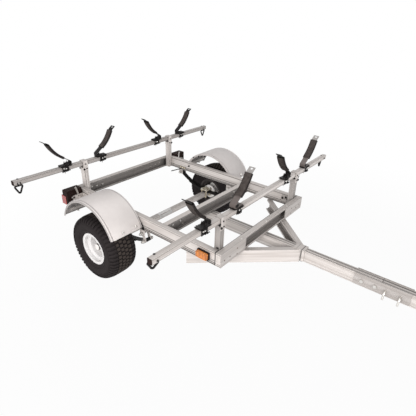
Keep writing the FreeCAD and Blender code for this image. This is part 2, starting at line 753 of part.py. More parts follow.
# Spring hangers under the rails, with their bolts, and the front shackles
hangers, shackles = [], []
for label, side in SIDES.items():
    y = f"({side} * {SPRING_Y})"
    for end, x, z in (("rear", "-spring_rear_x", SPRING_REAR_Z), ("front", "shackle_top_x", SHACKLE_TOP_Z)):
        gap = "hanger_gap" if end == "rear" else "hanger_gap + hanger_plate + 0.5"
        pieces = []
        for cheek in (-1, 1):
            pieces.append(box(f"hanger_{label}_{end}_{cheek}", "hanger_long", "hanger_plate",
                              f"{RAIL_BOTTOM} - ({z}) + hanger_long / 3", along(f"{x} - hanger_long / 2"),
                              f"{y} + {cheek} * (spring_wide / 2 + {gap} + hanger_plate / 2) - hanger_plate / 2",
                              f"{z} - hanger_long / 3"))
        wide = f"(spring_wide + 2 * ({gap}) + 2 * hanger_plate)"
        pieces.append(box(f"hanger_{label}_{end}_top", "hanger_long", wide, "hanger_plate",
                          along(f"{x} - hanger_long / 2"), f"{y} - {wide} / 2",
                          f"{RAIL_BOTTOM} - hanger_plate"))
        pieces.append(cylinder(f"hanger_{label}_{end}_bolt", "spring_bolt", f"{wide} + 24", along(x),
                               f"{y} - {wide} / 2 - 12", z, TO_LEFT))
        hangers.append(fuse(f"hanger_{label}_{end}", pieces))
    fall = "(spring_front_drop - shackle_top_drop)"
    drop = f"sqrt((spring_front_x - shackle_top_x)^2 + {fall}^2)"
    lean = f"atan((spring_front_x - shackle_top_x) / {fall})"
    for cheek in (-1, 1):
        thick = value("hanger_plate")
        length = value(drop)
        strap = Part.makeBox(26, thick, length, Vector(-13, -thick / 2, -length))
        for z in (0, -length):
            strap = strap.fuse(Part.makeCylinder(13, thick, Vector(0, -thick / 2, z), Vector(0, 1, 0)))
        strap = strap.cut(Part.makeCylinder(value("spring_bolt / 2 + running_clearance"), thick + 2,
                                            Vector(0, -thick / 2 - 1, 0), Vector(0, 1, 0)))
        strap.rotate(Vector(), Vector(0, 1, 0), -value(lean))
        offset = f"{cheek} * (spring_wide / 2 + hanger_gap + hanger_plate / 2)"
        shackles.append(shaped(f"shackle_{label}_{cheek}", strap.removeSplitter(), along("shackle_top_x"),
                               f"{y} + {offset}", SHACKLE_TOP_Z))
node("spring_hangers", together("spring_hangers", hangers))
bolts = []
for label, side in SIDES.items():
    plates = [item for item in shackles if f"_{label}_" in item.Name]
    wide = "(spring_wide + 2 * hanger_gap + 2 * hanger_plate)"
    bolt = cylinder(f"shackle_bolt_{label}", "spring_bolt", f"{wide} + 20", along("spring_front_x"),
                    f"{side} * {SPRING_Y} - {wide} / 2 - 10", SPRING_FRONT_Z, TO_LEFT)
    bolts.append(fuse(f"shackle_{label}", plates + [bolt]))
node("spring_shackles", together("spring_shackles", bolts))


# Wheels: tyre, pressed rim and hub, turned about the spindle
def tyre(name):
    radius = "tyre_diameter / 2"
    half = "tyre_width / 2"
    seat = "(bead_diameter / 2 + bead_clearance)"
    spread = "(bead_spread / 2 - rim_wall)"
    tread = "(tread_width / 2)"
    right = [(spread, seat), (spread, f"{seat} + 26"), (half, f"{seat} + 62"), (half, f"{radius} - 40"),
             (f"{half} - 6", f"{radius} - 18"), (tread, f"{radius} - shoulder_drop / 2"),
             (f"{tread} * 0.6", radius)]
    left = [(f"-({y})", z) for y, z in reversed(right)]
    inner = [(f"{spread} - 14", seat), (f"{spread} - 12", f"{seat} + 28"),
             (f"{half} - tyre_wall", f"{seat} + 66"), (f"{half} - tyre_wall", f"{radius} - 42"),
             (f"{tread} - 6", f"{radius} - tyre_wall - 14"), (f"{tread} * 0.55", f"{radius} - tyre_wall - 4")]
    inner_left = [(f"-({y})", z) for y, z in reversed(inner)]
    outline = right + left + [(y, z) for y, z in reversed(inner_left)] + list(reversed(inner))
    return turned(name, [outline])


def rim(name, side):
    seat = "bead_diameter / 2"
    edge = "bead_spread / 2"
    flange = f"({seat} + rim_flange)"
    well = f"({seat} - rim_well)"
    wall = "rim_wall"
    outline = [(f"-({edge} + rim_wall)", flange), (f"-{edge}", flange), (f"-{edge}", seat),
               (f"-{edge} + 24", seat), (f"-{edge} + 34", well), (f"{edge} - 34", well),
               (f"{edge} - 24", seat), (edge, seat), (edge, flange), (f"{edge} + rim_wall", flange),
               (f"{edge} + rim_wall", f"{seat} - {wall}"), (f"{edge} - 23", f"{seat} - {wall}"),
               (f"{edge} - 33", f"{well} - {wall}"),
               (f"{side} * 12 + {wall} / 2", f"{well} - {wall}"),
               (f"{side} * disc_inset + {wall} / 2", "hub_flange_diameter / 2"),
               (f"{side} * disc_inset + {wall} / 2", "hub_nose_diameter / 2 + 4"),
               (f"{side} * disc_inset - {wall} / 2", "hub_nose_diameter / 2 + 4"),
               (f"{side} * disc_inset - {wall} / 2", "hub_flange_diameter / 2 + 2"),
               (f"{side} * 12 - {wall} / 2", f"{well} - {wall}"),
               (f"-{edge} + 33", f"{well} - {wall}"), (f"-{edge} + 23", f"{seat} - {wall}"),
               (f"-({edge} + rim_wall)", f"{seat} - {wall}")]
    return turned(name, [outline])


def hub(name, side):
    """The hub: barrel, flange and nose cap, open where the spindle runs."""
    bore = "(spindle_diameter / 2 + running_clearance)"
    disc = f"(disc_inset - rim_wall / 2 - 0.3)"
    outline = [("-hub_back", bore), ("-hub_back", "hub_barrel_diameter / 2"),
               (f"{disc} - 8", "hub_barrel_diameter / 2"), (f"{disc} - 8", "hub_flange_diameter / 2"),
               (disc, "hub_flange_diameter / 2"), (disc, "hub_nose_diameter / 2"),
               ("hub_nose_reach - 6", "hub_nose_diameter / 2"), ("hub_nose_reach", "hub_nose_diameter / 2 - 7"),
               ("hub_nose_reach", "0"), ("hub_nose_reach - 4", "0"), ("hub_nose_reach - 4", bore)]
    flipped = [(f"{side} * ({y})", z) for y, z in outline]
    barrel = turned(f"{name}_barrel", [flipped])
    pieces = [barrel]
    for index in range(4):
        angle = math.radians(45 + 90 * index)
        x = f"stud_circle / 2 * {math.cos(angle):.6f}"
        z = f"stud_circle / 2 * {math.sin(angle):.6f}"
        start = f"({disc} - 4)" if side > 0 else f"(-({disc}) - 22)"
        pieces.append(cylinder(f"{name}_stud_{index}", "stud_diameter", "26", x, start, z, TO_LEFT))
    return fuse(name, pieces)


for label, side in SIDES.items():
    middle = f"({side} * {WHEEL_Y})"
    node(f"tyre_{label}", place(tyre(f"tyre_{label}"), AXLE_X, middle, WHEEL_Z))
    wheel = rim(f"rim_{label}_disc", side)
    holes = []
    for index in range(4):
        angle = math.radians(45 + 90 * index)
        holes.append(cylinder(f"rim_hole_{label}_{index}", "stud_diameter + 0.6", "40",
                              f"stud_circle / 2 * {math.cos(angle):.6f}", "-20",
                              f"stud_circle / 2 * {math.sin(angle):.6f}", TO_LEFT))
    node(f"rim_{label}", place(cut(f"rim_{label}", wheel, holes), AXLE_X, middle, WHEEL_Z))
    node(f"hub_{label}", place(hub(f"hub_{label}", side), AXLE_X, middle, WHEEL_Z))


# Fenders: rolled sheet over each wheel with a turned-down lip along both edges
def fender(name, side):
    inner = f"({side} * {FENDER_INNER})"
    outer = f"({side} * {FENDER_OUTER})"
    skin = f"({side} * fender_sheet)"
    radius = "fender_radius"
    lip = "(fender_radius - fender_lip)"
    outline = [(inner, lip), (inner, radius), (outer, radius), (outer, lip), (f"{outer} - {skin}", lip),
               (f"{outer} - {skin}", f"{radius} - fender_sheet"),
               (f"{inner} + {skin}", f"{radius} - fender_sheet"), (f"{inner} + {skin}", lip)]
    return turned(name, [outline], "fender_angle")


for label, side in SIDES.items():
    node(f"fender_{label}", place(fender(f"fender_{label}", side), AXLE_X, "0", "fender_height"))

# Fender brackets: a flat bar under each end of the sheet, bolted to the rail's side
brackets = []
for label, side in SIDES.items():
    for end, way in (("front", 1), ("rear", -1)):
        lean = value("fender_angle / 2") - 12
        radius = value("fender_radius - fender_lip - fender_bracket_thick / 2 - 0.5")
        wide = value("fender_bracket_wide")
        thick = value("fender_bracket_thick")
        inside = value(f"{RAIL_OUTER} - lip_deep")
        reach = value(f"{FENDER_OUTER} - fender_sheet - 30")
        room = value("fender_gap + lip_deep - 0.5")
        bar = Part.makeBox(wide, reach - inside, thick, Vector(-wide / 2, inside, -thick / 2))
        foot = Part.makeBox(wide, room, 40, Vector(-wide / 2, inside, -40 + thick / 2))
        posts = [Part.makeCylinder(7, value("fender_lip - fender_sheet"), Vector(0, inside + (reach - inside) * at, 0))
                 for at in (0.3, 0.85)]
        arm = bar.fuse([foot] + posts)
        arm.translate(Vector(0, 0, radius))
        arm.rotate(Vector(), Vector(0, 1, 0), lean * way)
        if side < 0:
            arm = arm.mirror(Vector(), Vector(0, 1, 0))
        brackets.append(shaped(f"fender_bracket_{label}_{end}", arm.removeSplitter(), AXLE_X, "0",
                               "fender_height"))
node("fender_brackets", together("fender_brackets", brackets))

# Posts, load bars, saddles and end caps
for end, x in (("rear", "-rear_bar_x"), ("front", FRONT_BAR)):
    pair = []
    for label, side in SIDES.items():
        tube = prism(f"post_{end}_{label}", "XY_Plane",
                     hollow("-post_size / 2", "post_size / 2", "-post_size / 2", "post_size / 2", "post_wall"),
                     f"{BAR_BOTTOM} - post_top_gap - {RAIL_BOTTOM}")
        pair.append(place(tube, along(x), f"{side} * {POST_Y}", RAIL_BOTTOM))
    node(f"posts_{end}", together(f"posts_{end}", pair))
    bar = prism(f"crossbar_{end}", "XZ_Plane",
                hollow("-bar_size / 2", "bar_size / 2", "-bar_size / 2", "bar_size / 2", "bar_wall"),
                "bar_long", symmetric=True)
    node(f"crossbar_{end}", place(bar, along(x), "0", "bar_height"))

saddles, caps = [], []
for end, x in (("rear", "-rear_bar_x"), ("front", FRONT_BAR)):
    for label, side in SIDES.items():
        y = f"({side} * {POST_Y})"
        block = box(f"saddle_{end}_{label}_block", "post_size + 2 * saddle_wall", "post_size",
                    "bar_size + saddle_leg + saddle_wall", along(f"{x} - post_size / 2 - saddle_wall"),
                    f"{y} - post_size / 2", f"{BAR_BOTTOM} - saddle_leg")
        room = box(f"saddle_{end}_{label}_room", "post_size", "post_size + 2", "bar_size + saddle_leg + 1",
                   along(f"{x} - post_size / 2"), f"{y} - post_size / 2 - 1",
                   f"{BAR_BOTTOM} - saddle_leg - 1")
        saddles.append(cut(f"saddle_{end}_{label}", block, [room]))
        plug = box(f"cap_{end}_{label}", "bar_size", "cap_thick", "bar_size", along(f"{x} - bar_size / 2"),
                   f"{side} * (bar_long / 2 + cap_thick / 2) - cap_thick / 2", BAR_BOTTOM)
        caps.append(plug)
node("post_saddles", together("post_saddles", saddles))
node("bar_caps", together("bar_caps", caps))

# Cradle arms: a flat strip bent back over its clamp, then out and up to an eyed tip
ARM_LINE = [("arm_foot", "0"), ("-arm_heel", "0"), ("-arm_heel", "arm_rise * 0.111"),
            ("0", "arm_rise * 0.263"), ("arm_reach * 0.343", "arm_rise * 0.444"),
            ("arm_reach * 0.6", "arm_rise * 0.667"), ("arm_reach * 0.771", "arm_rise * 0.889"),
            ("arm_reach", "arm_rise")]
PAD_LINE = [("arm_reach * 0.1", "arm_rise * 0.3157"), ("arm_reach * 0.343", "arm_rise * 0.444"),
            ("arm_reach * 0.6", "arm_rise * 0.667"), ("arm_reach * 0.757", "arm_rise * 0.871")]
ARM_BENDS = [1, 1.1, 6.7, 10, 13.3, 10, 2.9]
PAD_BENDS = [10, 13.3]


def strip(points, bends, thick, wide):
    """A flat strip bent in the YZ plane along runs and bends, centred on X = 0."""
    line = [Vector(-wide / 2, y, z) for y, z in points]
    runs = []
    at = line[0]
    for index in range(1, len(line) - 1):
        back = (line[index - 1] - line[index]).normalize()
        ahead = (line[index + 1] - line[index]).normalize()
        half = back.getAngle(ahead) / 2
        room = 0.48 * min((line[index - 1] - line[index]).Length, (line[index + 1] - line[index]).Length)
        radius = min(bends[index - 1], room * math.tan(half))
        start = line[index] + back * (radius / math.tan(half))
        end = line[index] + ahead * (radius / math.tan(half))
        centre = line[index] + (back + ahead).normalize() * (radius / math.sin(half))
        runs.append(("line", at, start, None))
        runs.append(("bend", start, end, centre))
        at = end
    runs.append(("line", at, line[-1], None))

    def offset(distance):
        edges = []
        for kind, start, end, centre in runs:
            if kind == "line":
                normal = Vector(1, 0, 0).cross((end - start).normalize()) * distance
                edges.append((start + normal, end + normal, None))
            else:
                outward = [(point - centre).normalize() for point in (start, (start + end) * 0.5, end)]
                side = Vector(1, 0, 0).cross(end - start).dot(outward[1])
                far = (start - centre).Length + math.copysign(distance, distance * side)
                spread = [centre + way * far for way in outward]
                edges.append((spread[0], spread[2], spread[1]))
        return edges

    upper, lower = offset(thick / 2), offset(-thick / 2)
    outline = []
    for start, end, middle in upper:
        curve = Part.Arc(start, middle, end) if middle else Part.LineSegment(start, end)
        outline.append(curve.toShape())
    outline.append(Part.LineSegment(upper[-1][1], lower[-1][1]).toShape())
    for start, end, middle in reversed(lower):
        curve = Part.Arc(end, middle, start) if middle else Part.LineSegment(end, start)
        outline.append(curve.toShape())
    outline.append(Part.LineSegment(lower[0][0], upper[0][0]).toShape())
    return Part.Face(Part.Wire(outline)).extrude(Vector(wide, 0, 0))


def bent_line(line, way):
    """The line's points leaning towards the way's side, above the clamp's pad."""
    base = value("clamp_pad_thick + arm_thick / 2")
    return [(way * value(y), base + value(z)) for y, z in line]


def bends_of(shares):
    """Bend radii as multiples of the arm's tightest bend."""
    return [share * value("arm_bend") for share in shares]


def arm_shape(way):
    """One arm leaning towards the way's side, with a strap slot through its tip."""
    points = bent_line(ARM_LINE, way)
    arm = strip(points, bends_of(ARM_BENDS), value("arm_thick"), value("arm_wide"))
    before, tip = Vector(0, *points[-2]), Vector(0, *points[-1])
    run = (tip - before).normalize()
    long, wide = value("tip_slot_wide"), value("tip_slot_long")
    slot = Part.makeBox(wide, long, 4 * value("arm_thick"), Vector(-wide / 2, -long / 2, -2 * value("arm_thick")))
    slot.rotate(Vector(), Vector(1, 0, 0), math.degrees(math.atan2(run.z, run.y)))
    slot.translate(tip - run * (long / 2 + value("arm_thick")))
    return arm.cut(slot)


def pad_shape(way):
    """The padded sleeve round the arm's sloping part."""
    return strip(bent_line(PAD_LINE, way), bends_of(PAD_BENDS), value("pad_thick"), value("pad_wide"))


clamp_list = []
for end, x in (("rear", "-rear_bar_x"), ("front", FRONT_BAR)):
    for label, side in SIDES.items():
        arms, pads = [], []
        for spot, way in ((CRADLE_OUTER, side), (CRADLE_INNER, -side)):
            y = f"({side} * {spot})"
            key = f"{end}_{label}_{'out' if way == side else 'in'}"
            arm = arm_shape(way)
            sleeve_solid = pad_shape(way)
            arms.append(shaped(f"arm_{key}", arm, along(x), y, BAR_TOP))
            pads.append(shaped(f"pad_{key}", sleeve_solid.cut(arm), along(x), y, BAR_TOP))
            middle = f"({y} + {-way} * (arm_heel - arm_foot) / 2)"
            upper = box(f"clamp_pad_{key}", "clamp_pad_wide", "clamp_pad_long", "clamp_pad_thick",
                        along(f"{x} - clamp_pad_wide / 2"), f"{middle} - clamp_pad_long / 2", BAR_TOP)
            jaw_y = f"({y} + {way} * clamp_shift)"
            jaw = box(f"clamp_jaw_{key}", "bar_size + 2 * clamp_wall", "clamp_long", "bar_size + clamp_wall",
                      along(f"{x} - bar_size / 2 - clamp_wall"), f"{jaw_y} - clamp_long / 2",
                      f"{BAR_BOTTOM} - clamp_wall")
            room = box(f"clamp_room_{key}", "bar_size", "clamp_long + 2", "bar_size + 1",
                       along(f"{x} - bar_size / 2"), f"{jaw_y} - clamp_long / 2 - 1", BAR_BOTTOM)
            stud = cylinder(f"clamp_stud_{key}", "clamp_stud", "clamp_stud_drop + clamp_wall / 2", along(x),
                            jaw_y, f"{BAR_BOTTOM} - clamp_wall - clamp_stud_drop")
            open_jaw = cut(f"clamp_open_{key}", jaw, [room])
            clamp_list.append(fuse(f"clamp_{key}", [upper, open_jaw, stud]))
        node(f"cradle_arms_{end}_{label}", together(f"cradle_arms_{end}_{label}", arms))
        node(f"cradle_pads_{end}_{label}", together(f"cradle_pads_{end}_{label}", pads))
node("cradle_clamps", together("cradle_clamps", clamp_list))

# Tie-down rings: a rounded triangle hanging from a staple under each bar end
rings = []
for end, x in (("rear", "-rear_bar_x"), ("front", FRONT_BAR)):
    for label, side in SIDES.items():
        wire = value("ring_wire")
        half = value("ring_wide") / 2
        low = -value("ring_drop")
        deep, tall = value("ring_block_deep"), value("ring_block_tall")
        corners = [Vector(0, 0, low), Vector(0, half, low), Vector(0, 4, low - value("ring_tall")),
                   Vector(0, -4, low - value("ring_tall")), Vector(0, -half, low), Vector(0, 0, low)]
        loop = bent_rod(corners, value("ring_bend"), wire)
        swung = label == "right" and end == "front"
        if swung:
            loop.rotate(Vector(0, 0, low), Vector(0, 1, 0), value("ring_tilt"))
        eye = Part.makeBox(2 * deep, value("ring_block_long"), 2 - low, Vector(-deep, -value("ring_block_long") / 2, low - 2))
        ring = loop.fuse(eye).removeSplitter()
        if swung:
            ring.rotate(Vector(), Vector(0, 0, 1), -value("ring_turn"))
        spot = x if end == "rear" else f"{x} - front_ring_back"
        rings.append(shaped(f"ring_{end}_{label}", ring, along(spot), f"{side} * {RING_Y}", BAR_BOTTOM))
node("tie_rings", together("tie_rings", rings))

# Tail lamps outboard of the rails, behind the fenders: the lens turns round the outer side
brackets, lenses = [], []
LAMP_LOW = "(rail_top + lamp_rise - lamp_tall)"
LAMP_INNER = f"({RAIL_OUTER} + lamp_gap)"
LAMP_OUTER = f"({RAIL_OUTER} + lamp_gap + lamp_wide)"
LAMP_REAR = "(-lamp_front_x - lamp_body_deep)"
for label, side in SIDES.items():
    housing = box(f"tail_lamp_{label}", "lamp_body_deep", "lamp_wide", "lamp_tall", along(LAMP_REAR),
                  f"{side} * ({LAMP_INNER} + lamp_wide / 2) - lamp_wide / 2", LAMP_LOW)
    node(f"tail_lamp_{label}", housing)
    wide = "(lamp_wide + side_lens_thick)"
    slab = box(f"tail_lens_rear_{label}", "lens_deep", wide, "side_lens_tall",
               along(f"{LAMP_REAR} - lens_deep"), f"{side} * ({LAMP_INNER} + {wide} / 2) - {wide} / 2",
               LAMP_LOW)
    wing = box(f"tail_lens_side_{label}", "side_lens_long + 1", "side_lens_thick", "side_lens_tall",
               along(f"{LAMP_REAR} - 1"),
               f"{side} * ({LAMP_OUTER} + side_lens_thick / 2) - side_lens_thick / 2", LAMP_LOW)
    lenses.append(fuse(f"tail_lens_{label}", [slab, wing]))
    wide = f"({LAMP_OUTER} - lamp_wide / 3 - {RAIL_OUTER})"
    plate = box(f"lamp_plate_{label}", "lamp_plate", wide, "lamp_plate_tall", along("-lamp_front_x"),
                f"{side} * ({RAIL_OUTER} + {wide} / 2) - {wide} / 2", f"{LAMP_LOW} + lamp_plate_up")
    deep = "(lamp_plate + lip_deep)"
    foot = box(f"lamp_foot_{label}", "lamp_foot_long", deep, "lamp_plate_tall", along("-lamp_front_x"),
               f"{side} * ({RAIL_OUTER} - lip_deep + {deep} / 2) - {deep} / 2",
               f"{LAMP_LOW} + lamp_plate_up")
    brackets.append(fuse(f"lamp_bracket_{label}", [plate, foot]))
node("tail_lenses", together("tail_lenses", lenses))
node("lamp_brackets", together("lamp_brackets", brackets))

# Side marker lamps on the rails' outer faces
bases, marker_lenses = [], []
for label, side in SIDES.items():
    face = f"({RAIL_OUTER} - lip_deep)"
    bases.append(box(f"marker_base_{label}", "marker_long", "marker_base", "marker_tall",
                     along(f"{MARKER_X} - marker_long / 2"),
                     f"{side} * ({face} + marker_base / 2) - marker_base / 2",
                     "rail_top - rail_tall / 2 - marker_drop - marker_tall / 2"))
    lens = Part.makeBox(value("marker_long - 6"), value("marker_lens"), value("marker_tall - 6"))
    upright = [edge for edge in lens.Edges if abs(edge.tangentAt(edge.FirstParameter).y) > 0.9]
    lens = lens.makeFillet(value("marker_corner"), upright)
    marker_lenses.append(shaped(f"marker_lens_{label}", lens, along(f"{MARKER_X} - marker_long / 2 + 3"),
                                f"{side} * ({face} + marker_base + marker_lens / 2) - marker_lens / 2",
                                "rail_top - rail_tall / 2 - marker_drop - marker_tall / 2 + 3"))
node("marker_bases", together("marker_bases", bases))
node("marker_lenses", together("marker_lenses", marker_lenses))

# Jack bracket on the tongue's left side, with the pivot that the jack swings on
FLANGE_Y = "(tongue_wide / 2 + jack_plate_thick)"
SWIVEL_Y = f"({FLANGE_Y} + jack_flange_thick + jack_flange_gap)"
jack_plate = box("jack_plate", "jack_plate_long", "jack_plate_thick", "jack_plate_tall",
                 along(f"{JACK_X} - jack_plate_long / 2"), "tongue_wide / 2",
                 "jack_pivot_height - jack_plate_tall / 2")
flange = cylinder("jack_flange", "jack_flange_diameter", "jack_flange_thick", along(JACK_X), FLANGE_Y,
                  "jack_pivot_height", TO_LEFT)
pivot = cylinder("jack_pivot", "jack_pivot_diameter", "jack_flange_gap + jack_flange_thick + 24",
                 along(JACK_X), f"{FLANGE_Y} + jack_flange_thick", "jack_pivot_height", TO_LEFT)
node("jack_bracket", fuse("jack_bracket", [jack_plate, flange, pivot]))

# Jack tube with the flanged arm that turns on the pivot
tube_long = "(jack_tube_top - jack_tube_bottom)"
outside = cylinder("jack_tube_outside", "jack_tube_diameter", tube_long, along(JACK_X), JACK_Y,
                   "jack_tube_bottom")
disc = cylinder("jack_swivel_disc", "jack_flange_diameter", "jack_flange_thick", along(JACK_X), SWIVEL_Y,
                "jack_pivot_height", TO_LEFT)
arm = cylinder("jack_swivel_arm", "jack_pivot_diameter + 24", f"{JACK_Y} - {SWIVEL_Y}", along(JACK_X),
               SWIVEL_Y, "jack_pivot_height", TO_LEFT)
arm_hole = cylinder("jack_swivel_hole", "jack_pivot_diameter + 2 * running_clearance",
                    "jack_flange_thick + 26", along(JACK_X), f"{SWIVEL_Y} - 1", "jack_pivot_height", TO_LEFT)
inside = cylinder("jack_tube_inside", "jack_leg_diameter + 0.6", f"{tube_long} - 20", along(JACK_X), JACK_Y,
                  "jack_tube_bottom - 1")
node("jack_tube", cut("jack_tube", fuse("jack_tube_solid", [outside, disc, arm]), [arm_hole, inside]))

# Crank on the jack's side
step = value("crank_step")
crank_shape = bent_rod([Vector(0, 0, 0), Vector(0, step, 0), Vector(0, step, value("crank_reach")),
                        Vector(0, 2 * step, value("crank_reach"))], value("crank_bend"), value("crank_wire"))
node("jack_crank", shaped("jack_crank", crank_shape, along(JACK_X),
                          f"{JACK_Y} + jack_tube_diameter / 2 + 0.3", "jack_tube_top - 30"))

# Jack leg, caster fork and wheel
CASTER_Z = "(caster_diameter / 2)"
FORK_TOP = "(caster_diameter + 14)"
leg_tube = cylinder("jack_leg_tube", "jack_leg_diameter", "jack_leg_top - jack_leg_bottom", along(JACK_X),
                    JACK_Y, "jack_leg_bottom")
node("jack_leg", leg_tube)
fork_plates = []
for way in (-1, 1):
    fork_plates.append(box(f"fork_cheek_{way}", "46", "fork_plate", f"{FORK_TOP} - {CASTER_Z} + 14",
                           along(f"{JACK_X} - caster_trail - 23"),
                           f"{JACK_Y} + {way} * (fork_wide / 2 - fork_plate / 2) - fork_plate / 2",
                           f"{CASTER_Z} - 14"))
fork_plates.append(box("fork_crown", "caster_trail + 23 + 25", "fork_wide", "fork_plate",
                       along(f"{JACK_X} - caster_trail - 23"), f"{JACK_Y} - fork_wide / 2",
                       f"{FORK_TOP} - fork_plate"))
fork_plates.append(cylinder("fork_axle", "12", "fork_wide + 12", along(f"{JACK_X} - caster_trail"),
                            f"{JACK_Y} - fork_wide / 2 - 6", CASTER_Z, TO_LEFT))
fork_plates.append(cylinder("fork_stem", "30", f"jack_leg_bottom - caster_gap - {FORK_TOP}",
                            along(JACK_X), JACK_Y, FORK_TOP))
node("jack_fork", fuse("jack_fork", fork_plates))
caster_outline = [("-caster_wide / 2", "6 + running_clearance"), ("-caster_wide / 2", "18"),
                  ("-caster_wide / 2 + 8", "24"), ("-caster_wide / 2 + 8", "caster_diameter / 2 - 26"),
                  ("-caster_wide / 2", "caster_diameter / 2 - 20"),
                  ("-caster_wide / 2", "caster_diameter / 2 - 8"),
                  ("-caster_wide / 2 + 6", "caster_diameter / 2")]
mirrored = [(f"-({y})", z) for y, z in reversed(caster_outline)]
node("jack_wheel", place(turned("jack_wheel", [caster_outline + mirrored]),
                         along(f"{JACK_X} - caster_trail"), JACK_Y, CASTER_Z))

doc.recompute()
problems = [f"{item.Name}: {item.State}" for item in doc.Objects
            if any(word in item.State for word in ("Invalid", "Error"))]
for label, thing in nodes.items():
    if thing.Shape.isNull() or not thing.Shape.isValid() or not thing.Shape.Solids:
        problems.append(f"{label} has no valid solid")
if problems:
    raise RuntimeError("; ".join(problems))
os.makedirs("parts", exist_ok=True)
for label, thing in nodes.items():
    thing.Shape.exportStep(f"parts/{label}.step")
print(len(nodes), "sub-parts written")
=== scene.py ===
"""A light galvanised hull trailer dressed round its fixed CAD frame."""
import logging
import math
from dataclasses import dataclass, field
from enum import Enum
from functools import lru_cache

import bmesh
import bpy
from mathutils import Matrix, Vector


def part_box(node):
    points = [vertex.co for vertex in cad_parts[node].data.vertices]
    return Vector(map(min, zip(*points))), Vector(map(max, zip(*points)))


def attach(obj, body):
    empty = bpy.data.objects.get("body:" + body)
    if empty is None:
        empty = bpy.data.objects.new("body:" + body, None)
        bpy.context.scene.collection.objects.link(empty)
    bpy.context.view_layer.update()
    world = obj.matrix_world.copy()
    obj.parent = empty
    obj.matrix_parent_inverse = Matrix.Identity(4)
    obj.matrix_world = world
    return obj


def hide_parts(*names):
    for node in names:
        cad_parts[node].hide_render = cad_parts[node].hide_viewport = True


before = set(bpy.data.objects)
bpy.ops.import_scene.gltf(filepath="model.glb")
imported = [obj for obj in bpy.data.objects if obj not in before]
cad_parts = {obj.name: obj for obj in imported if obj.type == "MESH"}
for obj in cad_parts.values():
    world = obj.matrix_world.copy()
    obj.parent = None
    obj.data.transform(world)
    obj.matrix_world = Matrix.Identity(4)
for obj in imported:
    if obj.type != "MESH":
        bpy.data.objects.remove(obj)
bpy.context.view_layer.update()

LOG = logging.getLogger("trailer")
ACROSS = Vector((0.0, 1.0, 0.0))
ALONG = Vector((1.0, 0.0, 0.0))
UPWARDS = Vector((0.0, 0.0, 1.0))
FULL_TURN = 2.0 * math.pi
Pair = tuple[float, float]
Triple = tuple[float, float, float]
Colour = Triple
Groove = tuple[str, float, float, float]
Node = bpy.types.Node
Socket = bpy.types.NodeSocket
Shape = bmesh.types.BMesh


class Side(Enum):
    """The two sides of the trailer and their sign along Y."""

    RIGHT = -1
    LEFT = 1

    @property
    def word(self) -> str:
        """The side's name as the frame's nodes write it."""
        return self.name.lower()


class End(Enum):
    """The two load bars, by their place along the tongue."""

    REAR = "rear"
    FRONT = "front"


class Head(Enum):
    """What shows at the end of a fastener."""

    HEX = "a six-sided head"
    DOME = "a round head"
    NUT = "a nut with its thread"


@lru_cache(maxsize=None)
def box_of(node: str) -> tuple[Vector, Vector]:
    """A node's box at rest, measured once."""
    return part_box(node)


def middle_of(node: str) -> Vector:
    """The middle of a node's box at rest."""
    low, high = box_of(node)
    return (low + high) / 2


HUB = middle_of("tyre_right")
AXLE = HUB.x
COLLAR = middle_of("tongue_collar")
AMBER = middle_of("marker_lenses")
BAR_HEIGHT = middle_of("crossbar_front").z
RAIL_LOW, RAIL_HIGH = box_of("rail_right")
LOW, TOP, JOINT = RAIL_LOW.z, RAIL_HIGH.z, RAIL_HIGH.x


def ahead(distance: float) -> float:
    """The X place of a point that lies the distance ahead of the axle."""
    return AXLE + distance


def turned_to(axis: Vector, place: Vector, spin: float = 0.0) -> Matrix:
    """A matrix that stands local Z along an axis.

    Args:
        axis: The direction that local Z takes.
        place: Where local zero goes.
        spin: A turn about local Z first, in radians.

    Returns:
        The placement.
    """
    turn = UPWARDS.rotation_difference(axis.normalized()).to_matrix().to_4x4()
    return Matrix.Translation(place) @ turn @ Matrix.Rotation(spin, 4, "Z")


# ---------------------------------------------------------------- finishes
MOTTLE_SPAN: Pair = (0.25, 0.75)
GRAIN_DETAIL = 2.0
# Size of the patches of dust and painted shade on faces that look up.
DUST_AND_SHADE_PATCHES = 14.0
BUMP_DEPTH = 0.001
# Samples of the ambient occlusion that paints shade into corners.
CORNER_SAMPLES = 6
# Share of a painted groove line's half width that is darkest.
GROOVE_FLOOR = 0.4
# How dark painted shade is beside the finish's dark colour.
PAINTED_SHADE_TONE = 0.12


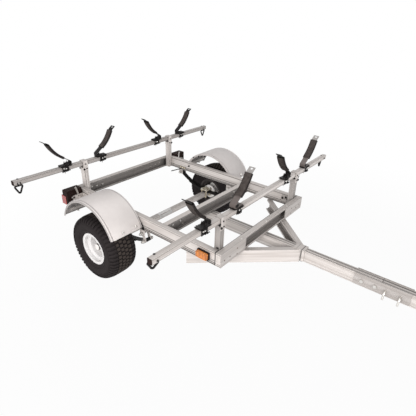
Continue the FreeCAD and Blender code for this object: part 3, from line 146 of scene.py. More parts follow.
@dataclass
class Wiring:
    """A short hand for adding nodes to a tree and joining them."""

    tree: bpy.types.NodeTree

    def feed(self, node: Node, inputs: dict[str | int, object]) -> None:
        """Fill a node's inputs.

        Args:
            node: The node.
            inputs: Sockets or plain values, by the input's name or number.
        """
        for key, item in inputs.items():
            if isinstance(item, Socket):
                self.join(item, node.inputs[key])
            else:
                node.inputs[key].default_value = item

    def add(self, kind: str, inputs: dict[str | int, object] | None = None, **settings: object) -> Node:
        """Add a node, set its properties and fill its inputs.

        Args:
            kind: The node's type.
            inputs: Sockets or plain values, by the input's name or number.
            settings: Its properties.

        Returns:
            The node.
        """
        made = self.tree.nodes.new(kind)
        for key, setting in settings.items():
            setattr(made, key, setting)
        self.feed(made, inputs or {})
        return made

    def join(self, start: Socket, end: Socket) -> None:
        """Link an output to an input."""
        self.tree.links.new(start, end)

    def math(self, operation: str, first: object, second: object = 0.0, clamp: bool = False) -> Socket:
        """A Math node fed by sockets or plain numbers.

        Args:
            operation: The node's operation.
            first: A socket or a number.
            second: A socket or a number.
            clamp: Whether the result stays between 0 and 1.

        Returns:
            The node's output.
        """
        inputs = {0: first, 1: second}
        return self.add("ShaderNodeMath", inputs, operation=operation, use_clamp=clamp).outputs[0]

    def blend(self, factor: Socket, first: Socket | Colour, second: Colour) -> Socket:
        """A mix of two colours by a mask.

        Args:
            factor: The mask.
            first: The colour where the mask is 0.
            second: The colour where the mask is 1.

        Returns:
            The mixed colour.
        """
        start = first if isinstance(first, Socket) else (*first, 1.0)
        inputs = {"Factor": factor, 6: start, 7: (*second, 1.0)}
        return self.add("ShaderNodeMix", inputs, data_type="RGBA").outputs[2]

    def ramp(self, value: Socket, begin: float = 0.0, end: float = 1.0, low: float = 0.0, high: float = 1.0,
             kind: str = "LINEAR") -> Socket:
        """Map a value from one span to another.

        Args:
            value: The value.
            begin: Where its span starts.
            end: Where its span ends.
            low: What the start becomes.
            high: What the end becomes.
            kind: How it runs between the two.

        Returns:
            The mapped value.
        """
        inputs = {"Value": value, "From Min": begin, "From Max": end, "To Min": low, "To Max": high}
        return self.add("ShaderNodeMapRange", inputs, interpolation_type=kind).outputs[0]

    def axes(self, vector: Socket) -> bpy.types.NodeOutputs:
        """The X, Y and Z of a vector."""
        return self.add("ShaderNodeSeparateXYZ", {0: vector}).outputs

    def group(self, key: str, inputs: dict[str | int, object]) -> Socket:
        """The output of a shared group placed with its own values."""
        return self.add("ShaderNodeGroup", inputs, node_tree=GROUPS[key]).outputs[0]

    def seen(self) -> Socket:
        """A mask that is 1 for the eye, and in what metal and glass show."""
        rays = self.add("ShaderNodeLightPath").outputs
        direct = self.math("MAXIMUM", rays["Is Camera Ray"], rays["Is Glossy Ray"])
        return self.math("MAXIMUM", direct, rays["Is Transmission Ray"])


def new_group(name: str, result: str, numbers: dict[str, float]) -> tuple[Wiring, bpy.types.NodeOutputs]:
    """Start a shader group that takes a Vector and some numbers.

    Args:
        name: The group's name.
        result: The name of the value that it puts out.
        numbers: The numbers' names and starting values.

    Returns:
        The group's wiring, and the sockets that come in.
    """
    tree = bpy.data.node_groups.new(name, "ShaderNodeTree")
    tree.interface.new_socket(name="Vector", in_out="INPUT", socket_type="NodeSocketVector")
    for label, start in numbers.items():
        socket = tree.interface.new_socket(name=label, in_out="INPUT", socket_type="NodeSocketFloat")
        socket.default_value = start
    tree.interface.new_socket(name=result, in_out="OUTPUT", socket_type="NodeSocketFloat")
    return Wiring(tree), tree.nodes.new("NodeGroupInput").outputs


def mottle_group() -> bpy.types.NodeTree:
    """Cloudy patches crossed with crystal cells, as zinc shows them.

    Returns:
        A group with a Mask output from 0 to 1.
    """
    wire, source = new_group("Zinc mottle", "Mask",
                             {"Cells": 60.0, "Clouds": 6.0, "Share": 0.5, "Detail": 5.0})
    clouds = wire.add("ShaderNodeTexNoise", {"Vector": source["Vector"], "Scale": source["Clouds"],
                                             "Detail": source["Detail"]})
    cells = wire.add("ShaderNodeTexVoronoi", {"Vector": source["Vector"], "Scale": source["Cells"]})
    level = wire.add("ShaderNodeSeparateColor", {0: cells.outputs["Color"]})
    mixed = wire.add("ShaderNodeMix", {"Factor": source["Share"], 2: clouds.outputs[0], 3: level.outputs[0]},
                     data_type="FLOAT")
    wire.add("NodeGroupOutput", {"Mask": wire.ramp(mixed.outputs[0], *MOTTLE_SPAN)})
    return wire.tree


def grain_group() -> bpy.types.NodeTree:
    """A fine even grain for moulded and coated faces.

    Returns:
        A group with a Height output.
    """
    wire, source = new_group("Fine grain", "Height", {"Scale": 900.0})
    speck = wire.add("ShaderNodeTexNoise", {"Vector": source["Vector"], "Scale": source["Scale"],
                                            "Detail": GRAIN_DETAIL})
    wire.add("NodeGroupOutput", {"Height": speck.outputs[0]})
    return wire.tree


def dust_and_shade_group() -> bpy.types.NodeTree:
    """Dust and painted shade on faces that look up, broken by noise.

    Returns:
        A group with a Mask output.
    """
    # A group of dust and painted shade on faces that look up.
    wire, source = new_group("Settled dust", "Mask", {"Amount": 0.3})
    facing = wire.axes(wire.add("ShaderNodeNewGeometry").outputs["Normal"])
    patch = wire.add("ShaderNodeTexNoise", {"Vector": source["Vector"], "Scale": DUST_AND_SHADE_PATCHES})
    level = wire.math("MULTIPLY", wire.math("MAXIMUM", facing["Z"], 0.0), patch.outputs[0])
    wire.add("NodeGroupOutput", {"Mask": wire.math("MULTIPLY", level, source["Amount"], clamp=True)})
    return wire.tree


GROUPS = {"mottle": mottle_group(), "grain": grain_group(), "dust_and_shade": dust_and_shade_group()}


@dataclass(frozen=True)
class Finish:
    """A painted, plated or moulded finish with mottle, grain, dust and painted shade on faces that look up,
    and painted shade in corners and along grooves.
    """

    name: str
    light: Colour
    dark: Colour
    metallic: float = 0.0
    smooth: float = 0.35
    rough: float = 0.55
    cells: float = 60.0
    clouds: float = 6.0
    share: float = 0.5
    octaves: float = 5.0
    grain: float = 900.0
    bump: float = 0.1
    # Dust, and painted shade, on faces that look up, and their colour.
    dust_and_shade: float = 0.0
    dust_and_shade_colour: Colour = (0.55, 0.53, 0.50)
    coat: float = 0.0
    coat_rough: float = 0.1
    specular: float = 0.5
    stretch: Triple = (1.0, 1.0, 1.0)
    turn: float = 0.0
    # Painted shade in corners, from ambient occlusion within reach.
    corner_shade: float = 0.0
    reach: float = 0.03
    # Dark lines: painted shade along grooves, lips and beads, and dark joints.
    lines: tuple[Groove, ...] = ()

    def material(self) -> bpy.types.Material:
        """Make the material.

        Returns:
            The material, whose colour, roughness and bump all come from nodes.
        """
        made = bpy.data.materials.new(self.name)
        made.use_nodes = True
        wire = Wiring(made.node_tree)
        shader = made.node_tree.nodes["Principled BSDF"]
        here = wire.add("ShaderNodeTexCoord").outputs["Object"]
        scale = [1.0 / part for part in self.stretch] if self.turn else self.stretch
        placing = {"Vector": here, "Scale": scale, "Rotation": (0.0, 0.0, self.turn)}
        kind = "TEXTURE" if self.turn else "POINT"
        lie = wire.add("ShaderNodeMapping", placing, vector_type=kind).outputs[0]
        mask = wire.group("mottle", {"Vector": lie, "Cells": self.cells, "Clouds": self.clouds,
                                     "Share": self.share, "Detail": self.octaves})
        colour = wire.blend(mask, self.light, self.dark)
        # Dust and painted shade on the faces that look up.
        if self.dust_and_shade > 0.0:
            dust_and_shade_mask = wire.group("dust_and_shade", {"Vector": lie, "Amount": self.dust_and_shade})
            colour = wire.blend(dust_and_shade_mask, colour, self.dust_and_shade_colour)
        wire.feed(shader, {"Metallic": self.metallic})
        colour = self.tint(wire, here, self.darken(wire, here, colour), shader)
        height = self.relief(wire, lie, wire.group("grain", {"Vector": lie, "Scale": self.grain}))
        bump = wire.add("ShaderNodeBump", {"Strength": self.bump, "Distance": BUMP_DEPTH, "Height": height})
        wire.feed(shader, {"Base Color": colour, "Normal": bump.outputs[0],
                           "Roughness": wire.ramp(mask, low=self.smooth, high=self.rough),
                           "Coat Weight": self.coat, "Coat Roughness": self.coat_rough,
                           "Specular IOR Level": self.specular})
        return made

    def darken(self, wire: Wiring, here: Socket, colour: Socket) -> Socket:
        """Draw dark lines along grooves, lips and joints, and painted shade into corners: the lines are
        painted shade, apart from the dark joints.

        Args:
            wire: The material's wiring.
            here: The coordinates.
            colour: The colour so far.

        Returns:
            The darker colour.
        """
        shade: Socket | None = None
        # Painted shade in corners, from ambient occlusion.
        if self.corner_shade > 0.0:
            corner = wire.add("ShaderNodeAmbientOcclusion", {"Distance": self.reach},
                              samples=CORNER_SAMPLES)
            closed = wire.math("SUBTRACT", 1.0, corner.outputs["AO"])
            shade = wire.math("MULTIPLY", closed, self.corner_shade, clamp=True)
        # Dark lines: painted shade along grooves and lips, and dark joints.
        if self.lines:
            axes = wire.axes(here)
            for axis, spot, half, depth in self.lines:
                away = wire.math("ABSOLUTE", wire.math("SUBTRACT", axes[axis], spot))
                band = wire.ramp(away, half * GROOVE_FLOOR, half, depth, 0.0, "SMOOTHSTEP")
                shade = band if shade is None else wire.math("MAXIMUM", shade, band)
        if shade is None:
            return colour
        return wire.blend(shade, colour, tuple(part * PAINTED_SHADE_TONE for part in self.dark))

    def tint(self, wire: Wiring, here: Socket, colour: Socket, shader: Node) -> Socket:
        """Change the colour by place: a plain finish leaves it."""
        return colour

    def relief(self, wire: Wiring, lie: Socket, grain: Socket) -> Socket:
        """The height that the bump follows: the grain alone."""
        return grain


@dataclass(frozen=True)
class TyreFinish(Finish):
    """Rubber whose tread blocks are worn paler and browner on top."""

    crown: Colour = (0.054, 0.044, 0.039)
    worn_from: float = 0.2312
    worn_to: float = 0.2330

    def tint(self, wire: Wiring, here: Socket, colour: Socket, shader: Node) -> Socket:
        """Lighten what lies farthest from the axle.

        Args:
            wire: The material's wiring.
            here: The coordinates.
            colour: The colour so far.
            shader: The shader, which is not used.

        Returns:
            The worn colour.
        """
        axes = wire.axes(here)
        over, tall = (wire.math("POWER", wire.math("SUBTRACT", axes[axis], centre), 2.0)
                      for axis, centre in (("X", HUB.x), ("Z", HUB.z)))
        radius = wire.math("SQRT", wire.math("ADD", over, tall))
        return wire.blend(wire.ramp(radius, self.worn_from, self.worn_to), colour, self.crown)


@dataclass(frozen=True)
class SplitFinish(Finish):
    """Black coated arms, of which those on one side of a line are bare metal."""

    line: float = 0.45
    inner_bare: bool = True
    below: float = 0.766
    above: float = 0.860
    bare: Colour = (0.125, 0.105, 0.097)
    tip: Colour = (0.30, 0.285, 0.275)
    bare_metal: float = 0.2

    def tint(self, wire: Wiring, here: Socket, colour: Socket, shader: Node) -> Socket:
        """Bare both ends of the arms that lie on one side of the line.

        Args:
            wire: The material's wiring.
            here: The coordinates.
            colour: The coated colour.
            shader: The shader, whose Metallic follows the same mask.

        Returns:
            The colour of both.
        """
        axes = wire.axes(here)
        away = wire.math("ABSOLUTE", axes["Y"])
        mask = wire.math("LESS_THAN" if self.inner_bare else "GREATER_THAN", away, self.line)
        low = wire.math("MULTIPLY", mask, wire.math("LESS_THAN", axes["Z"], self.below))
        high = wire.math("MULTIPLY", mask, wire.math("GREATER_THAN", axes["Z"], self.above))
        wire.feed(shader, {"Metallic": wire.math("MULTIPLY", wire.math("ADD", low, high), self.bare_metal)})
        return wire.blend(high, wire.blend(low, colour, self.bare), self.tip)


@dataclass(frozen=True)
class LensFinish(Finish):
    """Coloured clear plastic with moulded ribs."""

    ribs: float = 21.0
    rib_height: float = 3.0
    across: str = "X"

    def relief(self, wire: Wiring, lie: Socket, grain: Socket) -> Socket:
        """Ribs across the lens with a little grain on them.

        Args:
            wire: The material's wiring.
            lie: The coordinates that the patterns read.
            grain: The grain's height.

        Returns:
            The height.
        """
        waves = wire.add("ShaderNodeTexWave", {"Scale": self.ribs, "Vector": lie},
                         bands_direction=self.across, wave_profile="SIN")
        return wire.math("ADD", wire.math("MULTIPLY", waves.outputs["Fac"], self.rib_height), grain)


@dataclass(frozen=True)
class FoamFinish(Finish):
    """Closed-cell foam sleeve with fine lines along it and painted shade along both edges."""

    half: float = 0.0262
    # Colour, span and strength of the painted shade along both edges of the sleeve.
    dark_edge: Colour = (0.012, 0.010, 0.010)
    dark_edge_from: float = 0.72
    dark_edge_to: float = 0.9
    dark_edge_strength: float = 0.75
    rib_rate: float = 1400.0
    rib_height: float = 0.6
    pore_height: float = 2.0

    @staticmethod
    def across(wire: Wiring) -> Socket:
        """The place across the sleeve, from the mesh's own attribute."""
        follow = wire.add("ShaderNodeAttribute", attribute_name="sleeve")
        return wire.axes(follow.outputs["Vector"])["Y"]

    def tint(self, wire: Wiring, here: Socket, colour: Socket, shader: Node) -> Socket:
        """Paint shade along both edges of the sleeve.

        Args:
            wire: The material's wiring.
            here: The coordinates, which are not used.
            colour: The colour so far.
            shader: The shader, which is not used.

        Returns:
            The colour with painted shade along both edges.
        """
        away = wire.math("ABSOLUTE", self.across(wire))
        band = wire.ramp(away, self.half * self.dark_edge_from, self.half * self.dark_edge_to, 0.0, self.dark_edge_strength,
                         "SMOOTHSTEP")
        return wire.blend(band, colour, self.dark_edge)

    def relief(self, wire: Wiring, lie: Socket, grain: Socket) -> Socket:
        """Pores over fine lines that run along the sleeve.

        Args:
            wire: The material's wiring.
            lie: The coordinates, which are not used.
            grain: The grain's height.

        Returns:
            The height.
        """
        ribs = wire.math("SINE", wire.math("MULTIPLY", self.across(wire), self.rib_rate))
        return wire.math("ADD", wire.math("MULTIPLY", ribs, self.rib_height),
                         wire.math("MULTIPLY", grain, self.pore_height))


DRAWN_X, DRAWN_Y, DRAWN_Z = (0.03, 1.0, 1.0), (1.0, 0.03, 1.0), (1.0, 1.0, 0.03)
LIGHT_ZINC: Colour = (0.78, 0.735, 0.705)
DARK_ZINC: Colour = (0.54, 0.495, 0.465)
# The colour of dust and painted shade on faces that look up.
TOP_DUST_AND_SHADE: Colour = (0.27, 0.25, 0.235)
BRACE_LEAN = math.radians(42.5)


def brushed(name: str, stretch: Triple, turn: float = 0.0, lines: tuple[Groove, ...] = (),
            shade: float = 1.0, top: float = 1.0, corner_shade: float = 0.75) -> Finish:
    """Drawn zinc with fine lines along one way.

    Args:
        name: The material's name.
        stretch: How the pattern is squeezed along X, Y and Z.
        turn: A turn about Z of the lines.
        lines: Dark lines as axis, place, half width and strength: painted shade along grooves and lips, and
            dark joints.
        shade: How pale the metal is beside the common one: a lit copy above 1 and a shaded copy below 1,
            painted light and shade.
        top: How pale the dust and painted shade on the faces that look up are beside the common ones.
        corner_shade: How dark the painted shade in its corners is.

    Returns:
        The finish.
    """
    # shade paints light and shade on this part's copy of the zinc, and top sets the dust and painted shade
    # on its faces that look up.
    light, dark = (tuple(part * shade for part in zinc) for zinc in (LIGHT_ZINC, DARK_ZINC))
    top_dust_and_shade = tuple(part * top for part in TOP_DUST_AND_SHADE)
    return Finish(name, light, dark, metallic=0.30, smooth=0.45, rough=0.60, clouds=62.0, share=0.0,
                  octaves=1.2, grain=140.0, bump=0.03, dust_and_shade=0.95, dust_and_shade_colour=top_dust_and_shade, stretch=stretch,
                  turn=turn, corner_shade=corner_shade, reach=0.07, lines=lines)


def grooves(axis: str, centre: float, *lines: Triple) -> tuple[Groove, ...]:
    """Dark lines set out from one place: painted shade along grooves and lips, and dark joints.

    Args:
        axis: The axis that they lie square to.
        centre: The place on it that they are measured from.
        lines: Each one's distance, half width and strength.

    Returns:
        The lines.
    """
    return tuple((axis, centre + away, half, depth) for away, half, depth in lines)


def twin_grooves(*lines: Triple) -> tuple[Groove, ...]:
    """Dark lines of painted shade that lie the same way on both sides of the trailer.

    Args:
        lines: Each one's distance from the middle, half width and strength.

    Returns:
        The lines.
    """
    return tuple(("Y", way * away, half, depth) for away, half, depth in lines for way in (-1, 1))


# Most dark lines below are painted shade along grooves, lips and beads; those across JOINT are dark joints.
RAIL_LINES = (grooves("Z", TOP, (-0.007, 0.0036, 0.85), (-0.083, 0.0042, 0.95), (-0.0600, 0.0040, 0.85),
                      (-0.0735, 0.0042, 0.95)) + grooves("X", JOINT, (-0.001, 0.0050, 0.97)))
AMBER_LINES = (grooves("X", AMBER.x, (-0.012, 0.0020, 0.45), (0.012, 0.0020, 0.45), (0.034, 0.0022, 0.5),
                       (-0.034, 0.0022, 0.5))
               + grooves("Z", AMBER.z, (0.0150, 0.0020, 0.4), (-0.0150, 0.0020, 0.4)))
MEMBER_LINES = (grooves("Z", TOP, (-0.006, 0.0028, 0.75))
                + grooves("Z", LOW, (0.006, 0.0028, 0.8), (0.016, 0.0026, 0.6)))
FRONT_LINES = MEMBER_LINES + grooves("X", JOINT, (0.0015, 0.0042, 0.97))
BAR_LINES = grooves("Z", BAR_HEIGHT, (0.012, 0.0022, 0.55), (-0.0125, 0.0022, 0.6))
POST_LINES = twin_grooves((0.4605, 0.0026, 0.75), (0.4405, 0.0020, 0.6))
FENDER_LINES = twin_grooves((0.5205, 0.0026, 0.65), (0.7435, 0.0026, 0.38), (0.7590, 0.0016, 0.4))
TONGUE_LINES = (grooves("Y", 0.0, (-0.0150, 0.0045, 0.75), (0.0100, 0.0075, 0.80))
                + grooves("Z", COLLAR.z, (0.030, 0.0024, 0.3), (-0.031, 0.0024, 0.4)))
COLLAR_LINES = grooves("X", AXLE, (1.1845, 0.0042, 0.9), (1.150, 0.0025, 0.5))
BLACK_ARM = {"light": (0.011, 0.010, 0.010), "dark": (0.022, 0.020, 0.019), "smooth": 0.36, "rough": 0.5,
             "clouds": 25.0, "bump": 0.15, "specular": 0.3}
# The shade and top values below make lit and shaded copies of the one drawn zinc, part by part: painted
# light and shade for how light falls on each part.
FINISHES: dict[str, Finish] = {
    "drawn_along": brushed("Drawn steel along", DRAWN_X, lines=TONGUE_LINES),
    "collar": brushed("Tongue collar", DRAWN_X, lines=COLLAR_LINES, shade=1.08),
    "plate": brushed("Cut plate", DRAWN_X, shade=0.72),
    "plate_across": brushed("Cut plate across", DRAWN_Y, shade=0.76),
    "front_member": brushed("Front member", DRAWN_Y, lines=FRONT_LINES, corner_shade=0.30),
    "shaded_member": brushed("Shaded cross member", DRAWN_Y, lines=MEMBER_LINES, shade=0.50, top=2.5,
                           corner_shade=0.95),
    "shaded_bar": brushed("Shaded load bar", DRAWN_Y, lines=BAR_LINES, shade=0.62),
    "load_bar": brushed("Load bar", DRAWN_Y, lines=BAR_LINES, top=1.15),
    "post": brushed("Bar post", DRAWN_Z, lines=POST_LINES, shade=0.62),
    "rear_post": brushed("Rear bar post", DRAWN_Z, lines=POST_LINES, shade=0.98),
    "rail": brushed("Rolled side rail", DRAWN_X, lines=RAIL_LINES),
    "drawn_across": brushed("Drawn steel across", DRAWN_Y),
    "drawn_up": brushed("Drawn steel upright", DRAWN_Z),
    "brace_right": brushed("Drawn steel right brace", DRAWN_X, BRACE_LEAN),
    "brace_left": brushed("Drawn steel left brace", DRAWN_X, -BRACE_LEAN),
    "galvanised": Finish("Dipped steel", LIGHT_ZINC, DARK_ZINC, metallic=0.35, smooth=0.38, cells=70.0,
                         clouds=16.0, share=0.4, grain=500.0, bump=0.08, dust_and_shade=0.9, dust_and_shade_colour=TOP_DUST_AND_SHADE,
                         corner_shade=0.7),
    "sheet": Finish("Rolled zinc sheet", (0.595, 0.56, 0.545), (0.54, 0.505, 0.49), metallic=0.3,
                    smooth=0.48, rough=0.6, cells=40.0, clouds=5.0, share=0.12, grain=700.0, bump=0.04,
                    dust_and_shade=0.15, dust_and_shade_colour=(0.42, 0.39, 0.37), corner_shade=0.4, reach=0.02,
                    lines=FENDER_LINES),
    "arm_inner_bare": SplitFinish("Arms, inner one bare", **BLACK_ARM),
    "arm_outer_bare": SplitFinish("Arms, outer one bare", **BLACK_ARM, inner_bare=False),
    "zinc_hardware": Finish("Bright plated steel", (0.82, 0.80, 0.77), (0.60, 0.58, 0.55), metallic=0.85,
                            smooth=0.18, rough=0.34, cells=300.0, clouds=40.0, bump=0.05, corner_shade=0.5,
                            reach=0.01),
    "yellow_plate": Finish("Yellow plated steel", (0.78, 0.72, 0.58), (0.55, 0.47, 0.33), metallic=0.25,
                           smooth=0.3, rough=0.5, clouds=50.0, bump=0.05, corner_shade=0.5, reach=0.01),
    # Painted shade on the hub's barrel.
    "hub_shade": Finish("Hub side shade", (0.16, 0.14, 0.13), (0.08, 0.07, 0.065), smooth=0.45, rough=0.65,
                        clouds=60.0, specular=0.3),
    # Painted light: a near white that makes the hub show bright inside the wheel's shade.
    "hub_white": Finish("Hub painted light", (0.92, 0.90, 0.88), (0.80, 0.77, 0.74), metallic=0.05,
                        smooth=0.3, rough=0.5, clouds=60.0, bump=0.08, corner_shade=0.45, reach=0.010),
    "rust": Finish("Rusted thread", (0.105, 0.060, 0.038), (0.055, 0.033, 0.022), smooth=0.6, rough=0.85,
                   clouds=120.0, bump=0.4),
    "spring_black": Finish("Black coated steel", (0.008, 0.0072, 0.0070), (0.014, 0.0125, 0.012),
                           smooth=0.42, rough=0.6, clouds=25.0, bump=0.15, specular=0.16),
    "white_rim": Finish("White wheel enamel", (0.80, 0.79, 0.785), (0.74, 0.725, 0.72), smooth=0.22,
                        rough=0.36, clouds=10.0, share=0.1, bump=0.03, coat=0.3, corner_shade=0.45, reach=0.05),
    # Painted shade inside the rim's barrel.
    "rim_inside_shade": Finish("Rim barrel shade", (0.035, 0.030, 0.029), (0.06, 0.052, 0.05), smooth=0.5,
                         rough=0.75, clouds=20.0, bump=0.2, specular=0.2),
    "tyre": TyreFinish("Tyre rubber", (0.0200, 0.0165, 0.0168), (0.0290, 0.0245, 0.0248), smooth=0.6,
                       rough=0.8, clouds=18.0, share=0.2, grain=700.0, bump=0.25, specular=0.08,
                       corner_shade=0.9, reach=0.016),
    "caster_rubber": Finish("Caster rubber", (0.02, 0.02, 0.02), (0.035, 0.033, 0.032), smooth=0.45,
                            rough=0.65, clouds=30.0, bump=0.2, specular=0.3),
    "cap_black": Finish("Black moulding", (0.0165, 0.0095, 0.0082), (0.026, 0.0155, 0.0135), smooth=0.5,
                        rough=0.65, clouds=20.0, grain=1500.0, bump=0.25, specular=0.06),
    "lens_red": LensFinish("Red lens", (0.44, 0.035, 0.028), (0.25, 0.012, 0.01), smooth=0.12, rough=0.2,
                           clouds=60.0, bump=0.5, coat=0.5, across="Z"),
    "lens_amber": LensFinish("Amber lens", (0.74, 0.25, 0.042), (0.46, 0.13, 0.02), smooth=0.2, rough=0.34,
                             clouds=70.0, bump=0.5, coat=0.3, corner_shade=0.4, reach=0.004, lines=AMBER_LINES),
    "pad_black": FoamFinish("Foam sleeve", (0.072, 0.061, 0.056), (0.046, 0.038, 0.035), smooth=0.65,
                            rough=0.85, clouds=22.0, grain=1400.0, bump=0.5, specular=0.1),
    "blank_label": Finish("Blank label", (0.80, 0.79, 0.77), (0.74, 0.73, 0.71), smooth=0.4, rough=0.5,
                          clouds=40.0, bump=0.02),
}
MATERIALS = {name: finish.material() for name, finish in FINISHES.items()}


# ---------------------------------------------------------------- mesh helpers
def as_piece(name: str, shape: Shape, finish: str, body: str, crease: float = 35.0,
             hides: tuple[str, ...] = (), second: str | None = None) -> bpy.types.Object:
    """Turn a bmesh into a finished piece that rides on a body.

    Args:
        name: The piece's name.
        shape: The mesh, freed here.
        finish: A key of the finishes.
        body: The body that it moves with.
        crease: The angle past which an edge stays sharp, in degrees.
        hides: The nodes that it stands for.
        second: The finish of the faces whose material index is 1.

    Returns:
        The piece.
    """
    bmesh.ops.recalc_face_normals(shape, faces=shape.faces)
    mesh = bpy.data.meshes.new(name)
    shape.to_mesh(mesh)
    shape.free()
    for key in (finish, second) if second else (finish,):
        mesh.materials.append(MATERIALS[key])
    mesh.shade_smooth()
    mesh.set_sharp_from_angle(angle=math.radians(crease))
    made = bpy.data.objects.new(name, mesh)
    bpy.context.scene.collection.objects.link(made)
    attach(made, body)
    if hides:
        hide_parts(*hides)
    LOG.info("%s: %d faces on %s", name, len(mesh.polygons), body)
    return made


def gather(shape: Shape, extra: Shape) -> None:
    """Add one mesh to another and free it.

    Args:
        shape: The mesh that grows.
        extra: The mesh that joins it.
    """
    carrier = bpy.data.meshes.new("carrier")
    extra.to_mesh(carrier)
    extra.free()
    shape.from_mesh(carrier)
    bpy.data.meshes.remove(carrier)


def ease_edges(shape: Shape, edges: list[bmesh.types.BMEdge], width: float) -> None:
    """Round edges off in two steps.

    Args:
        shape: The mesh that they are in.
        edges: The edges.
        width: How far from an edge its round starts.
    """
    bmesh.ops.bevel(shape, geom=edges, offset=width, segments=2, profile=0.5, affect="EDGES", material=-1)


def block(shape: Shape, size: Triple, place: Matrix, bevel: float = 0.0) -> list[bmesh.types.BMVert]:
    """Add a block with eased edges.

    Args:
        shape: The mesh that it joins.
        size: Its length, width and height.
        place: Its placement, about its middle.
        bevel: The width of the eased edge.

    Returns:
        Its vertices before easing.
    """
    made = bmesh.ops.create_cube(shape, size=1.0, matrix=place @ Matrix.Diagonal((*size, 1.0)))["verts"]
    if bevel > 0.0:
        ease_edges(shape, list({edge for vert in made for edge in vert.link_edges}), bevel)
    return made


def disc(shape: Shape, radius: float, tall: float, place: Matrix, sides: int = 24, top: float | None = None,
         ease: float = 0.0) -> None:
    """Add a round or many-sided piece that stands on the placement's origin.

    Args:
        shape: The mesh that it joins.
        radius: The radius at its foot.
        tall: Its height along local Z.
        place: Its placement.
        sides: How many sides it has.
        top: The radius at its top, if it differs.
        ease: The width of the eased upper edge.
    """
    made = bmesh.ops.create_cone(shape, cap_ends=True, segments=sides, radius1=radius,
                                 radius2=radius if top is None else top, depth=tall,
                                 matrix=raised(place, tall / 2))["verts"]
    if ease > 0.0:
        upper = place @ Vector((0.0, 0.0, tall))
        axis = (place.to_3x3() @ UPWARDS).normalized()
        rim = [vert for vert in made if abs((vert.co - upper).dot(axis)) < tall * 0.1]
        around = {edge for vert in rim for edge in vert.link_edges}
        ease_edges(shape, [edge for edge in around if all(vert in rim for vert in edge.verts)], ease)


def raised(place: Matrix, height: float) -> Matrix:
    """A placement moved along its own Z."""
    return place @ Matrix.Translation((0.0, 0.0, height))


def closed_ring(shape: Shape,
                points: list[Vector]) -> tuple[list[bmesh.types.BMVert], list[bmesh.types.BMEdge]]:
    """Add a closed loop of edges.

    Args:
        shape: The mesh that it joins.
        points: Its corners.

    Returns:
        Its vertices and its edges.
    """
    ring = [shape.verts.new(point) for point in points]
    return ring, [shape.edges.new((vert, ring[(index + 1) % len(ring)])) for index, vert in enumerate(ring)]


def spun(shape: Shape, outline: list[Pair], centre: Vector, steps: int = 96, start: float = 0.0,
         sweep: float = FULL_TURN) -> None:
    """Turn a closed outline of (Y, radius) about the Y axis.

    Args:
        shape: The mesh that it joins.
        outline: The outline's corners.
        centre: A point on the axis.
        steps: The number of steps in the sweep.
        start: The first angle from straight up.
        sweep: How far it turns.
    """
    turn = Matrix.Rotation(start, 3, "Y")
    ring, edges = closed_ring(shape, [centre + turn @ Vector((0.0, y, r)) for y, r in outline])
    full = sweep == FULL_TURN
    if not full:
        edges.append(shape.faces.new(ring))
    bmesh.ops.spin(shape, geom=ring + edges, axis=ACROSS, cent=centre, angle=sweep, steps=steps,
                   use_merge=full, use_normal_flip=False)


def rounded(outline: list[Pair], radius: float, steps: int = 2) -> list[Pair]:
    """Round the corners of a closed outline.

    Args:
        outline: The corners.
        radius: How far from a corner its curve starts, at most.
        steps: Points on each curve beyond the first.

    Returns:
        The finer outline.
    """
    fine: list[Pair] = []
    count = len(outline)
    for index in range(count):
        before, corner, after = (Vector(outline[(index + way) % count]) for way in (-1, 0, 1))
        first, last = (corner + (other - corner).normalized() * min(radius, (other - corner).length * 0.45)
                       for other in (before, after))
        for step in range(steps + 1):
            t = step / steps
            point = first * (1 - t) ** 2 + corner * 2 * t * (1 - t) + last * t ** 2
            fine.append((point.x, point.y))
    return fine


def smooth_line(points: list[Vector], rounds: int = 3) -> list[Vector]:
    """Cut the corners of an open line again and again.

    Args:
        points: The line's corners.
        rounds: How many times the corners are cut.

    Returns:
        A finer line with the same ends.
    """
    for _ in range(rounds):
        finer = [points[0]]
        for first, second in zip(points, points[1:]):
            finer += [first.lerp(second, 0.25), first.lerp(second, 0.75)]
        points = finer + [points[-1]]
    return points


def stations(line: list[Vector], side: Vector) -> list[Matrix]:
    """Placements along a line: local X to its side and Z along it.

    Args:
        line: The line.
        side: A direction square to the whole line.

    Returns:
        One placement for each point.
    """
    made = []
    for index, place in enumerate(line):
        along = (line[min(index + 1, len(line) - 1)] - line[max(index - 1, 0)]).normalized()
        turn = Matrix((side, along.cross(side).normalized(), along)).transposed().to_4x4()
        made.append(Matrix.Translation(place) @ turn)
    return made


def swept(shape: Shape, outline: list[Pair], line: list[Vector], side: Vector) -> list[bmesh.types.BMFace]:
    """Push a closed outline along a line by extruding it step by step.

    Args:
        shape: The mesh that it joins.
        outline: Corners as (along the side, along the normal).
        line: The middle line.
        side: A direction square to the whole line.

    Returns:
        The two end faces.
    """
    places = stations(line, side)
    ring, edges = closed_ring(shape, [places[0] @ Vector((a, b, 0.0)) for a, b in outline])
    ends = [shape.faces.new(ring)]
    for before, place in zip(places, places[1:]):
        made = bmesh.ops.extrude_edge_only(shape, edges=edges)["geom"]
        edges = [item for item in made if isinstance(item, bmesh.types.BMEdge)]
        verts = [item for item in made if isinstance(item, bmesh.types.BMVert)]
        bmesh.ops.transform(shape, matrix=place @ before.inverted(), verts=verts)
    return ends + bmesh.ops.contextual_create(shape, geom=edges)["faces"]


def flat_bar(width: float, deep: float) -> list[Pair]:
    """A rectangle's corners from its half width and half depth."""
    return [(-width, -deep), (width, -deep), (width, deep), (-width, deep)]


